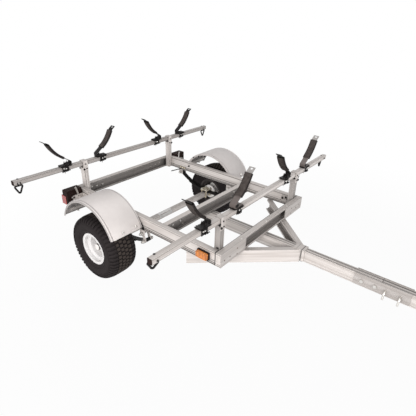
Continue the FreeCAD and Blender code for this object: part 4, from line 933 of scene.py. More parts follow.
def soft_rectangle(across: float, deep: float, power: float, count: int) -> list[Pair]:
    """A rectangle with soft corners.

    Args:
        across: Its half width.
        deep: Its half depth.
        power: 2 is an ellipse and more is squarer.
        count: How many points it has.

    Returns:
        Its points.
    """
    points = []
    for index in range(count):
        angle = FULL_TURN * index / count
        c, s = math.cos(angle), math.sin(angle)
        points.append((across * math.copysign(abs(c) ** (2 / power), c),
                       deep * math.copysign(abs(s) ** (2 / power), s)))
    return points


@dataclass
class Fasteners:
    """Bolt heads, nuts and washers on the frame, gathered into one piece."""

    name: str
    finish: str = "zinc_hardware"
    slot: str | None = None
    shape: Shape = field(default_factory=bmesh.new)

    def add(self, head: Head, place: Vector, axis: Vector, size: float, washer: bool = True) -> None:
        """Put one fastener on a face, its parts sized by its thread.

        Args:
            head: What shows.
            place: A point on the face.
            axis: The way out of the face.
            size: The thread's diameter.
            washer: Whether a washer lies under it.
        """
        seat = turned_to(axis, place, 0.3)
        base = size * 0.2 if washer else 0.0
        if washer:
            disc(self.shape, size * 1.05, base, seat, 20)
        lift = raised(seat, base)
        if head is Head.DOME:
            disc(self.shape, size * 0.95, size * 0.22, lift, 20)
            disc(self.shape, size * 0.95, size * 0.3, raised(lift, size * 0.22), 20, top=size * 0.45)
        else:
            disc(self.shape, size * 0.92, size * 0.65, lift, 6, ease=size * 0.08)
        if head is Head.NUT:
            disc(self.shape, size * 0.5, size * 1.3, lift, 12, ease=size * 0.06)

    def close(self) -> bpy.types.Object:
        """Make the piece."""
        return as_piece(self.name, self.shape, self.finish, "frame", crease=30.0)


# ---------------------------------------------------------------- wheels
@dataclass
class Wheel:
    """One road wheel: tyre with moulded tread, white rim, and hub with nuts."""

    side: Side
    radius: float = 0.235
    seat: float = 0.1018
    groove: float = 0.0065
    rows: tuple[float, ...] = (-0.0435, -0.0145, 0.0145, 0.0435)
    pitches: int = 50
    section: tuple[Pair, ...] = (
        (0.0, 0.0), (0.030, 0.0004), (0.058, 0.0022), (0.078, 0.0056), (0.092, 0.0115), (0.1005, 0.021),
        (0.1055, 0.034), (0.1075, 0.050), (0.1068, 0.068), (0.1035, 0.086), (0.0975, 0.102),
        (0.0915, 0.112), (0.0900, 0.119))
    crown_points: int = 7
    lining: tuple[Pair, ...] = ((0.0730, 0.1018), (0.0760, 0.128), (0.0980, 0.160), (0.0965, 0.193),
                                (0.0800, 0.213), (0.0400, 0.2205), (0.0, 0.2215))
    tread_block: Pair = (0.0205, 0.0235)
    lug_run: tuple[float, ...] = (0.1040, 0.1015, 0.0960, 0.0880, 0.0780, 0.0680, 0.0585)
    lug: tuple[Pair, ...] = ((-0.0088, -0.003), (0.0088, -0.003), (0.0076, 0.0048), (-0.0076, 0.0048))
    rib_run: tuple[Pair, ...] = ((0.1066, 0.184), (0.1052, 0.192), (0.1026, 0.200))
    rib: tuple[Pair, ...] = ((-0.002, -0.001), (0.002, -0.001), (0.0014, 0.0009), (-0.0014, 0.0009))
    wall_rings: tuple[Pair, ...] = ((0.188, 0.1066), (0.141, 0.1040))
    rim_seat: float = 0.1015
    rim_edge: float = 0.089
    rim_wall: float = 0.003
    rim_well: float = 0.0795
    flange: float = 0.017
    shoulders: Pair = (0.024, 0.034)
    dish: Pair = (0.012, 0.006)
    disc_hole: float = 0.028
    disc_edge: Pair = (0.066, 0.068)
    hub_outline: tuple[Pair, ...] = (
        (-0.092, 0.0126), (-0.092, 0.0300), (-0.103, 0.0305), (-0.103, 0.0530), (-0.099, 0.0600),
        (-0.086, 0.0620), (-0.086, 0.0500), (-0.078, 0.032), (-0.0045, 0.032), (-0.0045, 0.0655),
        (0.0042, 0.0655), (0.0042, 0.024), (0.058, 0.0235), (0.064, 0.019), (0.066, 0.012), (0.066, 0.0001),
        (0.062, 0.0001), (0.062, 0.0126))
    studs: int = 4
    stud_circle: float = 0.0508

    @property
    def body(self) -> str:
        """The body that the wheel turns with."""
        return f"wheel_{self.side.word}"

    @property
    def centre(self) -> Vector:
        """The middle of the wheel on its spindle."""
        return middle_of(f"tyre_{self.side.word}")

    def outer_line(self) -> list[Pair]:
        """The tyre's outside from the middle of the tread down its wall, under the tread blocks."""
        base = self.radius - self.groove
        return [(y, base - drop) for y, drop in self.section]

    def carcass(self) -> list[Pair]:
        """The tyre's closed outline, from bead to bead outside and back inside.

        Returns:
            Points of (Y, radius).
        """
        half = self.curve(self.outer_line() + [(0.0870, self.seat)]) + list(self.lining)
        return half + [(-y, r) for y, r in reversed(half[1:-1])]

    @staticmethod
    def curve(points: list[Pair], parts: int = 3) -> list[Pair]:
        """Points of a smooth curve through the given ones.

        Args:
            points: Points on the curve.
            parts: How many steps between two of them.

        Returns:
            The finer run.
        """
        fine: list[Pair] = []
        last = len(points) - 1
        for index in range(last):
            p0, p1, p2, p3 = (Vector(points[min(max(index + way, 0), last)]) for way in (-1, 0, 1, 2))
            for step in range(parts):
                t = step / parts
                at = 0.5 * (2 * p1 + (p2 - p0) * t + (2 * p0 - 5 * p1 + 4 * p2 - p3) * t ** 2
                            + (3 * p1 - p0 - 3 * p2 + p3) * t ** 3)
                fine.append((at.x, at.y))
        return fine + [points[-1]]

    def crown(self, y: float) -> Pair:
        """The carcass' radius and slope at a place across the tread.

        Args:
            y: The place across.

        Returns:
            The radius there, and the surface's lean in radians.
        """
        outline = self.curve(self.outer_line()[:self.crown_points])
        first, second = next(pair for pair in zip(outline, outline[1:]) if abs(y) <= pair[1][0])
        share = (abs(y) - first[0]) / (second[0] - first[0])
        lean = math.atan2(first[1] - second[1], second[0] - first[0])
        return first[1] + (second[1] - first[1]) * share, math.copysign(lean, y)

    def station(self, angle: float, y: float, lift: float) -> Matrix:
        """A placement on the tread: local X round the tyre, Y across, Z outwards.

        Args:
            angle: The angle round the axle.
            y: The place across the tread.
            lift: The height over the carcass.

        Returns:
            The placement.
        """
        radius, lean = self.crown(y)
        return (Matrix.Translation(self.centre) @ Matrix.Rotation(angle, 4, "Y")
                @ Matrix.Translation((0.0, y, radius)) @ Matrix.Rotation(-lean, 4, "X")
                @ Matrix.Translation((0.0, 0.0, lift)))

    def tread(self) -> Shape:
        """Mould the tread: one pitch of blocks, lugs and wall ribs, repeated round the tyre.

        Returns:
            The tread alone.
        """
        pitch = FULL_TURN / self.pitches
        shape = bmesh.new()
        for row, y in enumerate(self.rows):
            place = self.station(pitch * (0.5 if row % 2 else 0.0), y, self.groove * 0.38)
            verts = block(shape, (*self.tread_block, self.groove * 1.2), place)
            middle = place.inverted()
            upper = [vert for vert in verts if (middle @ vert.co).z > 0.0]
            bmesh.ops.scale(shape, vec=(0.9, 0.92, 1.0), verts=upper, space=middle)
        for sign in (-1, 1):
            angle = pitch * (0.25 + 0.25 * sign)
            line = [self.station(angle, sign * y, 0.0004).translation for y in self.lug_run]
            swept(shape, self.lug, line[::sign], Matrix.Rotation(angle, 3, "Y") @ ALONG)
            for step in range(2):
                turn = Matrix.Rotation(angle + pitch * (step / 2 + 0.25), 3, "Y")
                line = [self.centre + turn @ Vector((0.0, sign * y, r)) for y, r in self.rib_run]
                swept(shape, self.rib, line[::-sign], turn @ ALONG)
        bmesh.ops.spin(shape, geom=shape.verts[:] + shape.edges[:] + shape.faces[:], axis=ACROSS,
                       cent=self.centre, angle=pitch * (self.pitches - 1), steps=self.pitches - 1,
                       use_duplicate=True, use_merge=False, use_normal_flip=False)
        return shape

    def build(self) -> None:
        """Make the tyre, the rim and the hub."""
        word = self.side.word
        shape = bmesh.new()
        spun(shape, self.carcass(), self.centre, 120)
        gather(shape, self.tread())
        for radius, y in self.wall_rings:
            for sign in (-1, 1):
                ring = [(sign * (y - 0.001), radius), (sign * (y + 0.0009), radius + 0.001),
                        (sign * (y + 0.0009), radius + 0.0025), (sign * (y - 0.001), radius + 0.0035)]
                spun(shape, ring, self.centre)
        as_piece(f"road_tyre_{word}", shape, "tyre", self.body, hides=(f"tyre_{word}",), crease=40.0)
        self.rim()
        self.hub()

    def rim(self) -> None:
        """Make the pressed rim with its dished disc, with painted shade inside its barrel."""
        way, word = self.side.value, self.side.word
        seat, edge, wall, well = self.rim_seat, self.rim_edge, self.rim_wall, self.rim_well
        lip, under, floor, half = seat + self.flange, seat - wall, well - wall, wall / 2
        bench, drop = (edge - width for width in self.shoulders)
        bench_under, drop_under = (edge - width + 0.001 for width in self.shoulders)
        root, dish = (way * place for place in self.dish)
        front, back = self.disc_edge
        outline = [(-edge - wall, lip), (-edge, lip), (-edge, seat), (-bench, seat), (-drop, well),
                   (drop, well), (bench, seat), (edge, seat), (edge, lip), (edge + wall, lip),
                   (edge + wall, under), (bench_under, under), (drop_under, floor), (root + half, floor),
                   (dish + half, front), (dish + half, self.disc_hole), (dish - half, self.disc_hole),
                   (dish - half, back), (root - half, floor), (-drop_under, floor), (-bench_under, under),
                   (-edge - wall, under)]
        shape = bmesh.new()
        spun(shape, rounded(outline, 0.004), self.centre)
        bmesh.ops.recalc_face_normals(shape, faces=shape.faces)
        # The faces inside the barrel, behind the disc, take painted shade.
        for face in shape.faces:
            depth, radius = self.reach(face)
            in_barrel_shade = depth < 0.0075 and face.normal.y * way < 0.5
            face.material_index = int(in_barrel_shade and radius <= seat + 0.015)
        as_piece(f"white_rim_{word}", shape, "white_rim", self.body, hides=(f"rim_{word}",),
                 second="rim_inside_shade")

    def reach(self, face: bmesh.types.BMFace) -> Pair:
        """How far a face lies outwards along the axle, and how far from it."""
        out = face.calc_center_median() - self.centre
        return self.side.value * out.y, math.hypot(out.x, out.z)

    def hub(self) -> None:
        """Make the hub with its flange, cap, studs and nuts, in a near white that paints light on it and
        with painted shade on its barrel.
        """
        way, word = self.side.value, self.side.word
        outwards = ACROSS * way
        shape = bmesh.new()
        spun(shape, rounded([(way * y, r) for y, r in self.hub_outline], 0.002), self.centre, 64)
        for index in range(self.studs):
            angle = math.radians(45 + 90 * index)
            place = self.centre + Vector((self.stud_circle * math.cos(angle), way * 0.0078,
                                          self.stud_circle * math.sin(angle)))
            seat = turned_to(outwards, place, 0.2 * index)
            disc(shape, 0.0125, 0.004, seat, 6, top=0.0105)
            disc(shape, 0.0105, 0.009, raised(seat, 0.003), 6, ease=0.001)
            disc(shape, 0.0058, 0.0145, seat, 12, ease=0.0008)
        disc(shape, 0.0255, 0.003, turned_to(outwards, self.centre + outwards * 0.0075), 48)
        bmesh.ops.recalc_face_normals(shape, faces=shape.faces)
        # The barrel's faces take painted shade; the rest takes a near white that paints light.
        for face in shape.faces:
            depth, radius = self.reach(face)
            barrel = abs(face.normal.y) < 0.5 and radius < 0.0262
            face.material_index = int(barrel and 0.006 < depth < 0.062)
        as_piece(f"wheel_hub_{word}", shape, "hub_white", self.body, hides=(f"hub_{word}",),
                 second="hub_shade")


# ---------------------------------------------------------------- fenders
@dataclass
class Fender:
    """Rolled sheet over one wheel, with turned-down edges and its screws."""

    side: Side
    radius: float = 0.282
    height: float = 0.319
    sheet: float = 0.0025
    lip: float = 0.016
    bead: float = 0.008
    sweep: float = math.radians(139.0)
    bead_turns: tuple[int, ...] = (128, 110, 90, 68, 45, 22, 0)
    hollow: tuple[Pair, ...] = ((0.0225, 0.0), (0.0195, 0.0018), (0.0170, 0.0040))
    hollow_under: tuple[Pair, ...] = ((0.0165, 0.0040), (0.0240, 0.0))
    screw_lean: float = math.radians(64.7)
    screw_shares: Pair = (0.194, 0.613)
    # Radius of the rod at each end of the sheet, whose bright finish paints a highlight.
    wire: float = 0.0024

    def outline(self, inner: float, outer: float) -> list[Pair]:
        """The sheet's closed outline, with its lips, its hollow and its bead.

        Args:
            inner: The Y place of its inner edge.
            outer: The Y place of its outer edge.

        Returns:
            Points of (Y, radius).
        """
        way = self.side.value
        skin, top, foot, roll = way * self.sheet, self.radius, self.radius - self.lip, self.bead
        under = top - self.sheet
        hollow, hollow_under = ([(outer - way * away, level - drop) for away, drop in points]
                                for level, points in ((top, self.hollow), (under, self.hollow_under)))
        bead = [(outer - way * roll * (1 - math.cos(angle)), top - roll + roll * math.sin(angle))
                for angle in map(math.radians, self.bead_turns)]
        lower = [(outer, foot), (outer - skin, foot), (outer - skin, top - roll),
                 (outer - way * roll, under - 0.001)]
        return ([(inner, foot), (inner, top)] + hollow + bead + lower + hollow_under
                + [(inner + skin, under), (inner + skin, foot)])

    def build(self) -> None:
        """Make the sheet and its round-headed screws."""
        word, way = self.side.word, self.side.value
        low, high = box_of(f"fender_{word}")
        centre = Vector((AXLE, 0.0, self.height))
        inner, outer = (high.y, low.y) if self.side is Side.RIGHT else (low.y, high.y)
        shape = bmesh.new()
        spun(shape, self.outline(inner, outer), centre, 72, -self.sweep / 2, self.sweep)
        as_piece(f"fender_sheet_{word}", shape, "sheet", "frame", hides=(f"fender_{word}",),
                 crease=40.0)
        screws = Fasteners(f"fender_screws_{word}")
        for lean in (-1, 1):
            angle = lean * self.screw_lean
            out = Vector((math.sin(angle), 0.0, math.cos(angle)))
            for share in self.screw_shares:
                middle = centre + ACROSS * (inner + (outer - inner) * share)
                screws.add(Head.DOME, middle + out * (self.radius - 0.0003), out, 0.0095)
                screws.add(Head.NUT, middle + out * (self.radius - self.lip - 0.0048), -out, 0.0075)
            # A rod along each end of the sheet for its rolled end, in bright plated steel: a painted
            # highlight on the end.
            end = lean * self.sweep / 2
            out = Vector((math.sin(end), 0.0, math.cos(end)))
            start = centre + out * (self.radius - 0.0022) + ACROSS * (inner + way * 0.004)
            disc(screws.shape, self.wire, abs(outer - inner) - 0.028, turned_to(ACROSS * way, start), 12,
                 ease=0.0005)
        screws.close()


# ---------------------------------------------------------------- cradles
@dataclass
class Cradle:
    """One padded arm's sleeve and the small parts of its clamp."""

    end: End
    side: Side
    outer: bool
    foot: float = 0.006
    thick: float = 0.005
    reach: float = 0.140
    rise: float = 0.198
    outer_place: float = 0.603
    inner_place: float = 0.294
    sleeve_half: float = 0.0262
    sleeve_deep: float = 0.0092
    sleeve_run: tuple[Pair, ...] = ((0.060, 0.2900), (0.343, 0.444), (0.600, 0.667), (0.757, 0.871))
    mouth: float = 0.009
    top_bolts: tuple[Triple, ...] = (
        (-0.013, -0.006, 0.019), (0.013, -0.010, 0.015), (-0.011, -0.026, 0.021), (0.012, -0.028, 0.017),
        (0.002, -0.020, 0.012))
    pins: tuple[Pair, ...] = ((-0.010, 0.003), (0.004, 0.006), (0.013, 0.001))

    @property
    def way(self) -> int:
        """Which way the arm leans along Y."""
        return self.side.value if self.outer else -self.side.value

    @property
    def base(self) -> Vector:
        """The point on the bar's top that the arm is set out from."""
        bar = middle_of(f"crossbar_{self.end.value}")
        offset = self.outer_place if self.outer else self.inner_place
        return Vector((bar.x, self.side.value * offset, bar.z + 0.016))

    @property
    def key(self) -> str:
        """A short name for this arm."""
        return f"{self.end.value}_{self.side.word}_{'outer' if self.outer else 'inner'}"

    def point(self, share: Pair) -> Vector:
        """A point on the arm's middle line from its shares of reach and rise."""
        return self.base + Vector((0.0, self.way * self.reach * share[0],
                                   self.foot + self.thick / 2 + self.rise * share[1]))

    def sleeve(self) -> bpy.types.Object:
        """Make the foam sleeve.

        Returns:
            The sleeve, open round the strip at both ends.
        """
        line = smooth_line([self.point(share) for share in self.sleeve_run])
        shape = bmesh.new()
        ends = swept(shape, soft_rectangle(self.sleeve_half, self.sleeve_deep, 5.0, 28), line, ALONG)
        for face, out in zip(ends, (line[0] - line[1], line[-1] - line[-2])):
            bmesh.ops.inset_individual(shape, faces=[face], thickness=0.0032, depth=0.0)
            bmesh.ops.translate(shape, vec=out.normalized() * -self.mouth, verts=list(face.verts))
            for edge in face.edges:
                for other in edge.link_faces:
                    other.material_index = 1
        made = as_piece(f"foam_sleeve_{self.key}", shape, "pad_black", "frame", crease=60.0,
                        second="cap_black")
        self.mark(made, line)
        return made

    @staticmethod
    def mark(made: bpy.types.Object, line: list[Vector]) -> None:
        """Write where along and across the sleeve each point lies, for the ribs and the painted shade along
        its edges.

        Args:
            made: The sleeve.
            line: Its middle line.
        """
        lengths = [0.0]
        for first, second in zip(line, line[1:]):
            lengths.append(lengths[-1] + (second - first).length)
        attribute = made.data.attributes.new("sleeve", "FLOAT_VECTOR", "POINT")
        for vert in made.data.vertices:
            near = min(range(len(line)), key=lambda i: (vert.co - line[i]).yz.length)
            attribute.data[vert.index].vector = (lengths[near], vert.co.x - line[0].x, 0.0)

    def clamp(self, black: Fasteners, bright: Fasteners) -> None:
        """Add the clamp's bolts, its threads and its wing nuts.

        Args:
            black: Where the dark parts are gathered.
            bright: Where the plated parts are gathered.
        """
        out = ACROSS * self.way
        heel = self.base + out * 0.006
        seat = self.base + UPWARDS * 0.0105
        for along, shift, tall in self.top_bolts:
            spot = seat + ALONG * along + out * shift
            black.add(Head.NUT, spot, UPWARDS, 0.0062, False)
            disc(black.shape, 0.0024, tall, Matrix.Translation(spot), 10, ease=0.0004)
        for along, rise in self.pins:
            spot = self.base + ALONG * along - out * 0.034 + UPWARDS * rise
            disc(black.shape, 0.0028, 0.014, turned_to(-out + UPWARDS * 0.35, spot), 10, ease=0.0004)
        for sign in (-1, 1):
            face, sideways = heel + ALONG * sign * 0.020, ALONG * sign
            bright.add(Head.HEX, face + out * 0.014 - UPWARDS * 0.010, sideways, 0.0065)
            bright.add(Head.DOME, face - out * 0.004 - UPWARDS * 0.016, sideways, 0.0055, False)
            self.wing_nut(black, face - out * 0.012 - UPWARDS * 0.0295, sideways)
            self.wing_nut(black, face + out * 0.010 + UPWARDS * 0.002, sideways)
            self.wing_nut(black, seat + sideways * 0.014 - out * 0.020, UPWARDS)
        self.wing_nut(black, heel - UPWARDS * 0.0365, -UPWARDS)
        disc(bright.shape, 0.0030, 0.010, turned_to(-UPWARDS, heel - UPWARDS * 0.0475), 12, ease=0.0006)

    @staticmethod
    def wing_nut(black: Fasteners, place: Vector, axis: Vector) -> None:
        """Add one wing nut with its wings along the bar.

        Args:
            black: Where it is gathered.
            place: Its foot.
            axis: The way that it stands.
        """
        seat = turned_to(axis, place)
        if abs((seat.to_3x3() @ ALONG).dot(ACROSS)) < 0.5:
            seat = seat @ Matrix.Rotation(math.pi / 2, 4, "Z")
        disc(black.shape, 0.0068, 0.0075, seat, 16, top=0.0052, ease=0.0008)
        disc(black.shape, 0.0034, 0.0125, seat, 10, ease=0.0006)
        for way in (-1, 1):
            lean = (seat @ Matrix.Translation((way * 0.0125, 0.0, 0.0055))
                    @ Matrix.Rotation(way * math.radians(-24.0), 4, "Y"))
            block(black.shape, (0.0150, 0.0034, 0.0085), lean, 0.0012)


@dataclass
class LoadBars:
    """Everything on the two load bars apart from the bars themselves."""

    ring_place: float = 0.945
    saddle_bolts: tuple[Triple, ...] = (
        (0.0, -0.006, 0.0055), (-0.017, -0.044, 0.0085), (0.006, -0.042, 0.0055))

    def build(self) -> None:
        """Make the sleeves, the clamps' small parts and the rings' lugs."""
        black = Fasteners("clamp_knobs", "spring_black")
        bright = Fasteners("clamp_bolts")
        for end in End:
            for side in Side:
                for outer in (False, True):
                    cradle = Cradle(end, side, outer)
                    made = cradle.sleeve()
                    if outer:
                        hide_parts(f"cradle_pads_{end.value}_{side.word}")
                    cradle.clamp(black, bright)
                self.ring_lugs(black, bright, end, side)
                self.bolt_saddle(black, end, side)
        black.close()
        bright.close()

    def ring_lugs(self, black: Fasteners, bright: Fasteners, end: End, side: Side) -> None:
        """Add the lugs that hold one tie-down ring on the bar.

        Args:
            black: Where the dark parts are gathered.
            bright: Where the plated parts are gathered.
            end: Which bar.
            side: Which end of it.
        """
        bar = middle_of(f"crossbar_{end.value}")
        bar.y = side.value * self.ring_place
        face = ALONG * (1 if end is End.REAR else -1)
        plate = bar + face * 0.0178
        for shift in (-0.0090, 0.0090):
            block(black.shape, (0.0034, 0.0060, 0.024),
                  Matrix.Translation(plate + ACROSS * shift - UPWARDS * 0.010), 0.0010)
        block(black.shape, (0.0034, 0.024, 0.009), Matrix.Translation(plate - UPWARDS * 0.0205), 0.0010)
        hole = bar - UPWARDS * 0.004
        bright.add(Head.HEX, hole + face * 0.0163, face, 0.0055)
        black.add(Head.NUT, hole - face * 0.0163, -face, 0.0055)
        black.add(Head.DOME, bar + Vector((-0.011, side.value * -0.006, 0.016)), UPWARDS, 0.0065, False)

    def bolt_saddle(self, black: Fasteners, end: End, side: Side) -> None:
        """Add the dark bolts through one post's saddle.

        Args:
            black: Where they are gathered.
            end: Which bar.
            side: Which post.
        """
        bar = middle_of(f"crossbar_{end.value}")
        low, high = box_of(f"posts_{end.value}")
        middle = side.value * ((high.y - low.y) / 2 - 0.019)
        for face in (-1, 1):
            for shift, drop, size in self.saddle_bolts:
                spot = Vector((bar.x + face * 0.023, middle - side.value * shift, bar.z + drop))
                black.add(Head.HEX if face > 0 else Head.NUT, spot, ALONG * face, size, False)


# ---------------------------------------------------------------- frame
@dataclass
class FrameDress:
    """The frame's own nodes: finishes, eased edges, bolts and rivets."""

    ease: float = 0.0016
    weld: float = 0.00002
    rivets: tuple[Pair, ...] = ((0.036, 0.036), (0.090, 0.035), (0.164, 0.016), (0.164, 0.056))
    middle_bolts: tuple[Pair, ...] = ((0.386, 0.444), (0.313, 0.443), (0.288, 0.409))
    rear_bolts: tuple[Pair, ...] = ((0.271, 0.428), (0.328, 0.432), (0.374, 0.439))
    rail_bolts: tuple[Triple, ...] = (
        (0.776, 0.451, 0.0085), (0.805, 0.462, 0.0085), (0.820, 0.448, 0.0075), (-0.19, 0.455, 0.0075),
        (0.60, 0.455, 0.0075))
    member_rivets: tuple[float, ...] = (-0.289, 0.0, 0.289)
    collar_nuts: Pair = (1.1750, 1.1880)
    # Places of the dark sheets of painted shadow at each front post.
    post_shadow_triangle: Triple = (0.8735, 0.478, 0.651)
    post_gap_shadow: Pair = (0.858, 0.4695)

    @property
    def coats(self) -> dict[str, str]:
        """Which nodes take each finish, as words."""
        return {
            "rail": "rail_right rail_left",
            "drawn_along": "tongue_rear tongue_front",
            "collar": "tongue_collar",
            "plate": "splice_plates post_plates",
            "plate_across": "corner_plates",
            "front_member": "member_front",
            "shaded_member": "member_middle member_rear",
            "load_bar": "crossbar_front",
            "shaded_bar": "crossbar_rear",
            "yellow_plate": "axle_clamps",
            "drawn_across": "fender_brackets axle",
            "post": "posts_front",
            "rear_post": "posts_rear",
            "drawn_up": "post_saddles",
            "brace_right": "brace_right",
            "brace_left": "brace_left",
            "galvanised": "spring_hangers spring_shackles lamp_brackets jack_bracket coupler coupler_latch"
                          " jack_tube jack_leg jack_fork jack_crank",
            "zinc_hardware": "splice_bolts hitch_pins",
            "spring_black": "tie_rings spring_right spring_left cradle_clamps cradle_arms_rear_right"
                            " cradle_arms_rear_left",
            "arm_inner_bare": "cradle_arms_front_right",
            "arm_outer_bare": "cradle_arms_front_left",
            "cap_black": "bar_caps marker_bases tail_lamp_right tail_lamp_left",
            "lens_amber": "marker_lenses",
            "lens_red": "tail_lenses",
            "caster_rubber": "jack_wheel",
        }

    @property
    def softened(self) -> tuple[tuple[float, int, str], ...]:
        """How wide and in how many steps the edges of which nodes are eased."""
        return (
            (self.ease, 2, "rail_right rail_left tongue_rear crossbar_front crossbar_rear posts_front"
                           " posts_rear member_front member_middle member_rear brace_right brace_left axle"),
            (0.006, 3, "tail_lamp_right tail_lamp_left"),
            (0.002, 2, "tail_lenses marker_lenses bar_caps"),
            (0.0015, 2, "marker_bases cradle_clamps coupler"),
        )

    def joined(self, node: str) -> bpy.types.Object:
        """A node's object, whose loose triangles a modifier joins."""
        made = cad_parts[node]
        made.modifiers.new("join", "WELD").merge_threshold = self.weld
        return made

    def soften(self, node: str, width: float, segments: int) -> None:
        """Ease a node's sharp edges with modifiers.

        Args:
            node: The node's name.
            width: The eased edge's width.
            segments: How many steps round it.
        """
        bevel = self.joined(node).modifiers.new("ease", "BEVEL")
        bevel.width = width
        bevel.segments = segments
        bevel.limit_method = "ANGLE"
        bevel.angle_limit = math.radians(40.0)

    def thicken(self, node: str, coat: float) -> None:
        """Lay a thick dipped coat on a node.

        Args:
            node: The node's name.
            coat: The coat's thickness.
        """
        swell = self.joined(node).modifiers.new("coat", "DISPLACE")
        swell.strength = coat
        swell.mid_level = 0.0

    def build(self) -> None:
        """Dress the nodes and add the frame's fasteners."""
        for finish, nodes in self.coats.items():
            for node in nodes.split():
                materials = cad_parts[node].data.materials
                materials.clear()
                materials.append(MATERIALS[finish])
        for width, segments, nodes in self.softened:
            for node in nodes.split():
                self.soften(node, width, segments)
        self.thicken("tie_rings", 0.0030)
        self.bolts()

    def bolts(self) -> None:
        """Add the bolts that show on the frame."""
        made = Fasteners("frame_bolts")
        dark = Fasteners("dark_bolts", "spring_black")
        rusty = Fasteners("rusty_ends", "rust", "galvanised")
        plates = box_of("corner_plates")[1]
        outer = abs(RAIL_LOW.y)
        for side in Side:
            way = side.value
            for y, z in self.rivets:
                seat = turned_to(ALONG, Vector((plates.x - 0.0030, way * (outer - y), LOW + z)))
                disc(rusty.shape, 0.0049, 0.0030, seat, 20, ease=0.0006)
            for member, spots, size in (("middle", self.middle_bolts, 0.0075),
                                        ("rear", self.rear_bolts, 0.0070)):
                web = box_of(f"member_{member}")[0].x + 0.0035
                for y, z in spots:
                    made.add(Head.HEX, Vector((web, way * y, z)), ALONG, size)
            for x, z, size in self.rail_bolts:
                dark.add(Head.HEX, Vector((ahead(x), way * (outer - 0.0425), z)), ACROSS * -way, size)
            # Dark sheets put where there is only shade: a triangle of painted shadow under the load bar at
            # each front post, and a strip of painted shadow at the post's foot on the rail.
            x, y, z = self.post_shadow_triangle
            disc(dark.shape, 0.0125, 0.0012,
                 turned_to(ALONG, Vector((ahead(x), way * y, z)), math.radians(35.0)), 3)
            x, y = self.post_gap_shadow
            block(dark.shape, (0.016, 0.0012, 0.010), Matrix.Translation((ahead(x), way * y, TOP + 0.006)))
        for y in self.member_rivets:
            made.add(Head.DOME, Vector((ahead(0.902), y, TOP)), UPWARDS, 0.0070, False)
        for x in self.collar_nuts:
            dark.add(Head.NUT, Vector((ahead(x), -0.016, box_of("tongue_collar")[0].z)), -UPWARDS, 0.0075)
        for piece in (made, dark, rusty):
            piece.close()


@dataclass
class Lamps:
    """Screws, bolts and seams of the tail and side lamps."""

    stud_shares: Pair = (0.28, 0.72)
    plate: Triple = (-0.4008, 0.587, 0.443)
    strip_place: float = -0.4005
    strip: tuple[Pair, ...] = ((0.566, 0.520), (0.560, 0.505), (0.554, 0.485), (0.551, 0.460))

    def build(self) -> None:
        """Add the small parts round the lamps."""
        bright = Fasteners("lamp_bolts")
        black = Fasteners("lamp_seams", "cap_black")
        for side in Side:
            way = side.value
            low, high = box_of(f"tail_lamp_{side.word}")
            middle = (low + high) / 2
            for share in self.stud_shares:
                spot = Vector((high.x + 0.004, low.y + (high.y - low.y) * share, middle.z))
                bright.add(Head.NUT, spot, ALONG, 0.006)
            plate = Vector((ahead(self.plate[0]), way * self.plate[1], self.plate[2]))
            black.add(Head.HEX, plate, ALONG, 0.0075)
            black.add(Head.HEX, plate + ACROSS * way * 0.030 - UPWARDS * 0.012, ALONG, 0.0055)
            strip = [Vector((ahead(self.strip_place), way * y, z)) for y, z in self.strip]
            swept(bright.shape, flat_bar(0.0018, 0.0065), smooth_line(strip, 2), ALONG)
            dark_edge = Vector((middle.x, (low.y if way < 0 else high.y) + way * 0.0004, high.z - 0.018))
            block(black.shape, (high.x - low.x - 0.004, 0.0016, 0.003), Matrix.Translation(dark_edge))
        black.close()
        bright.close()


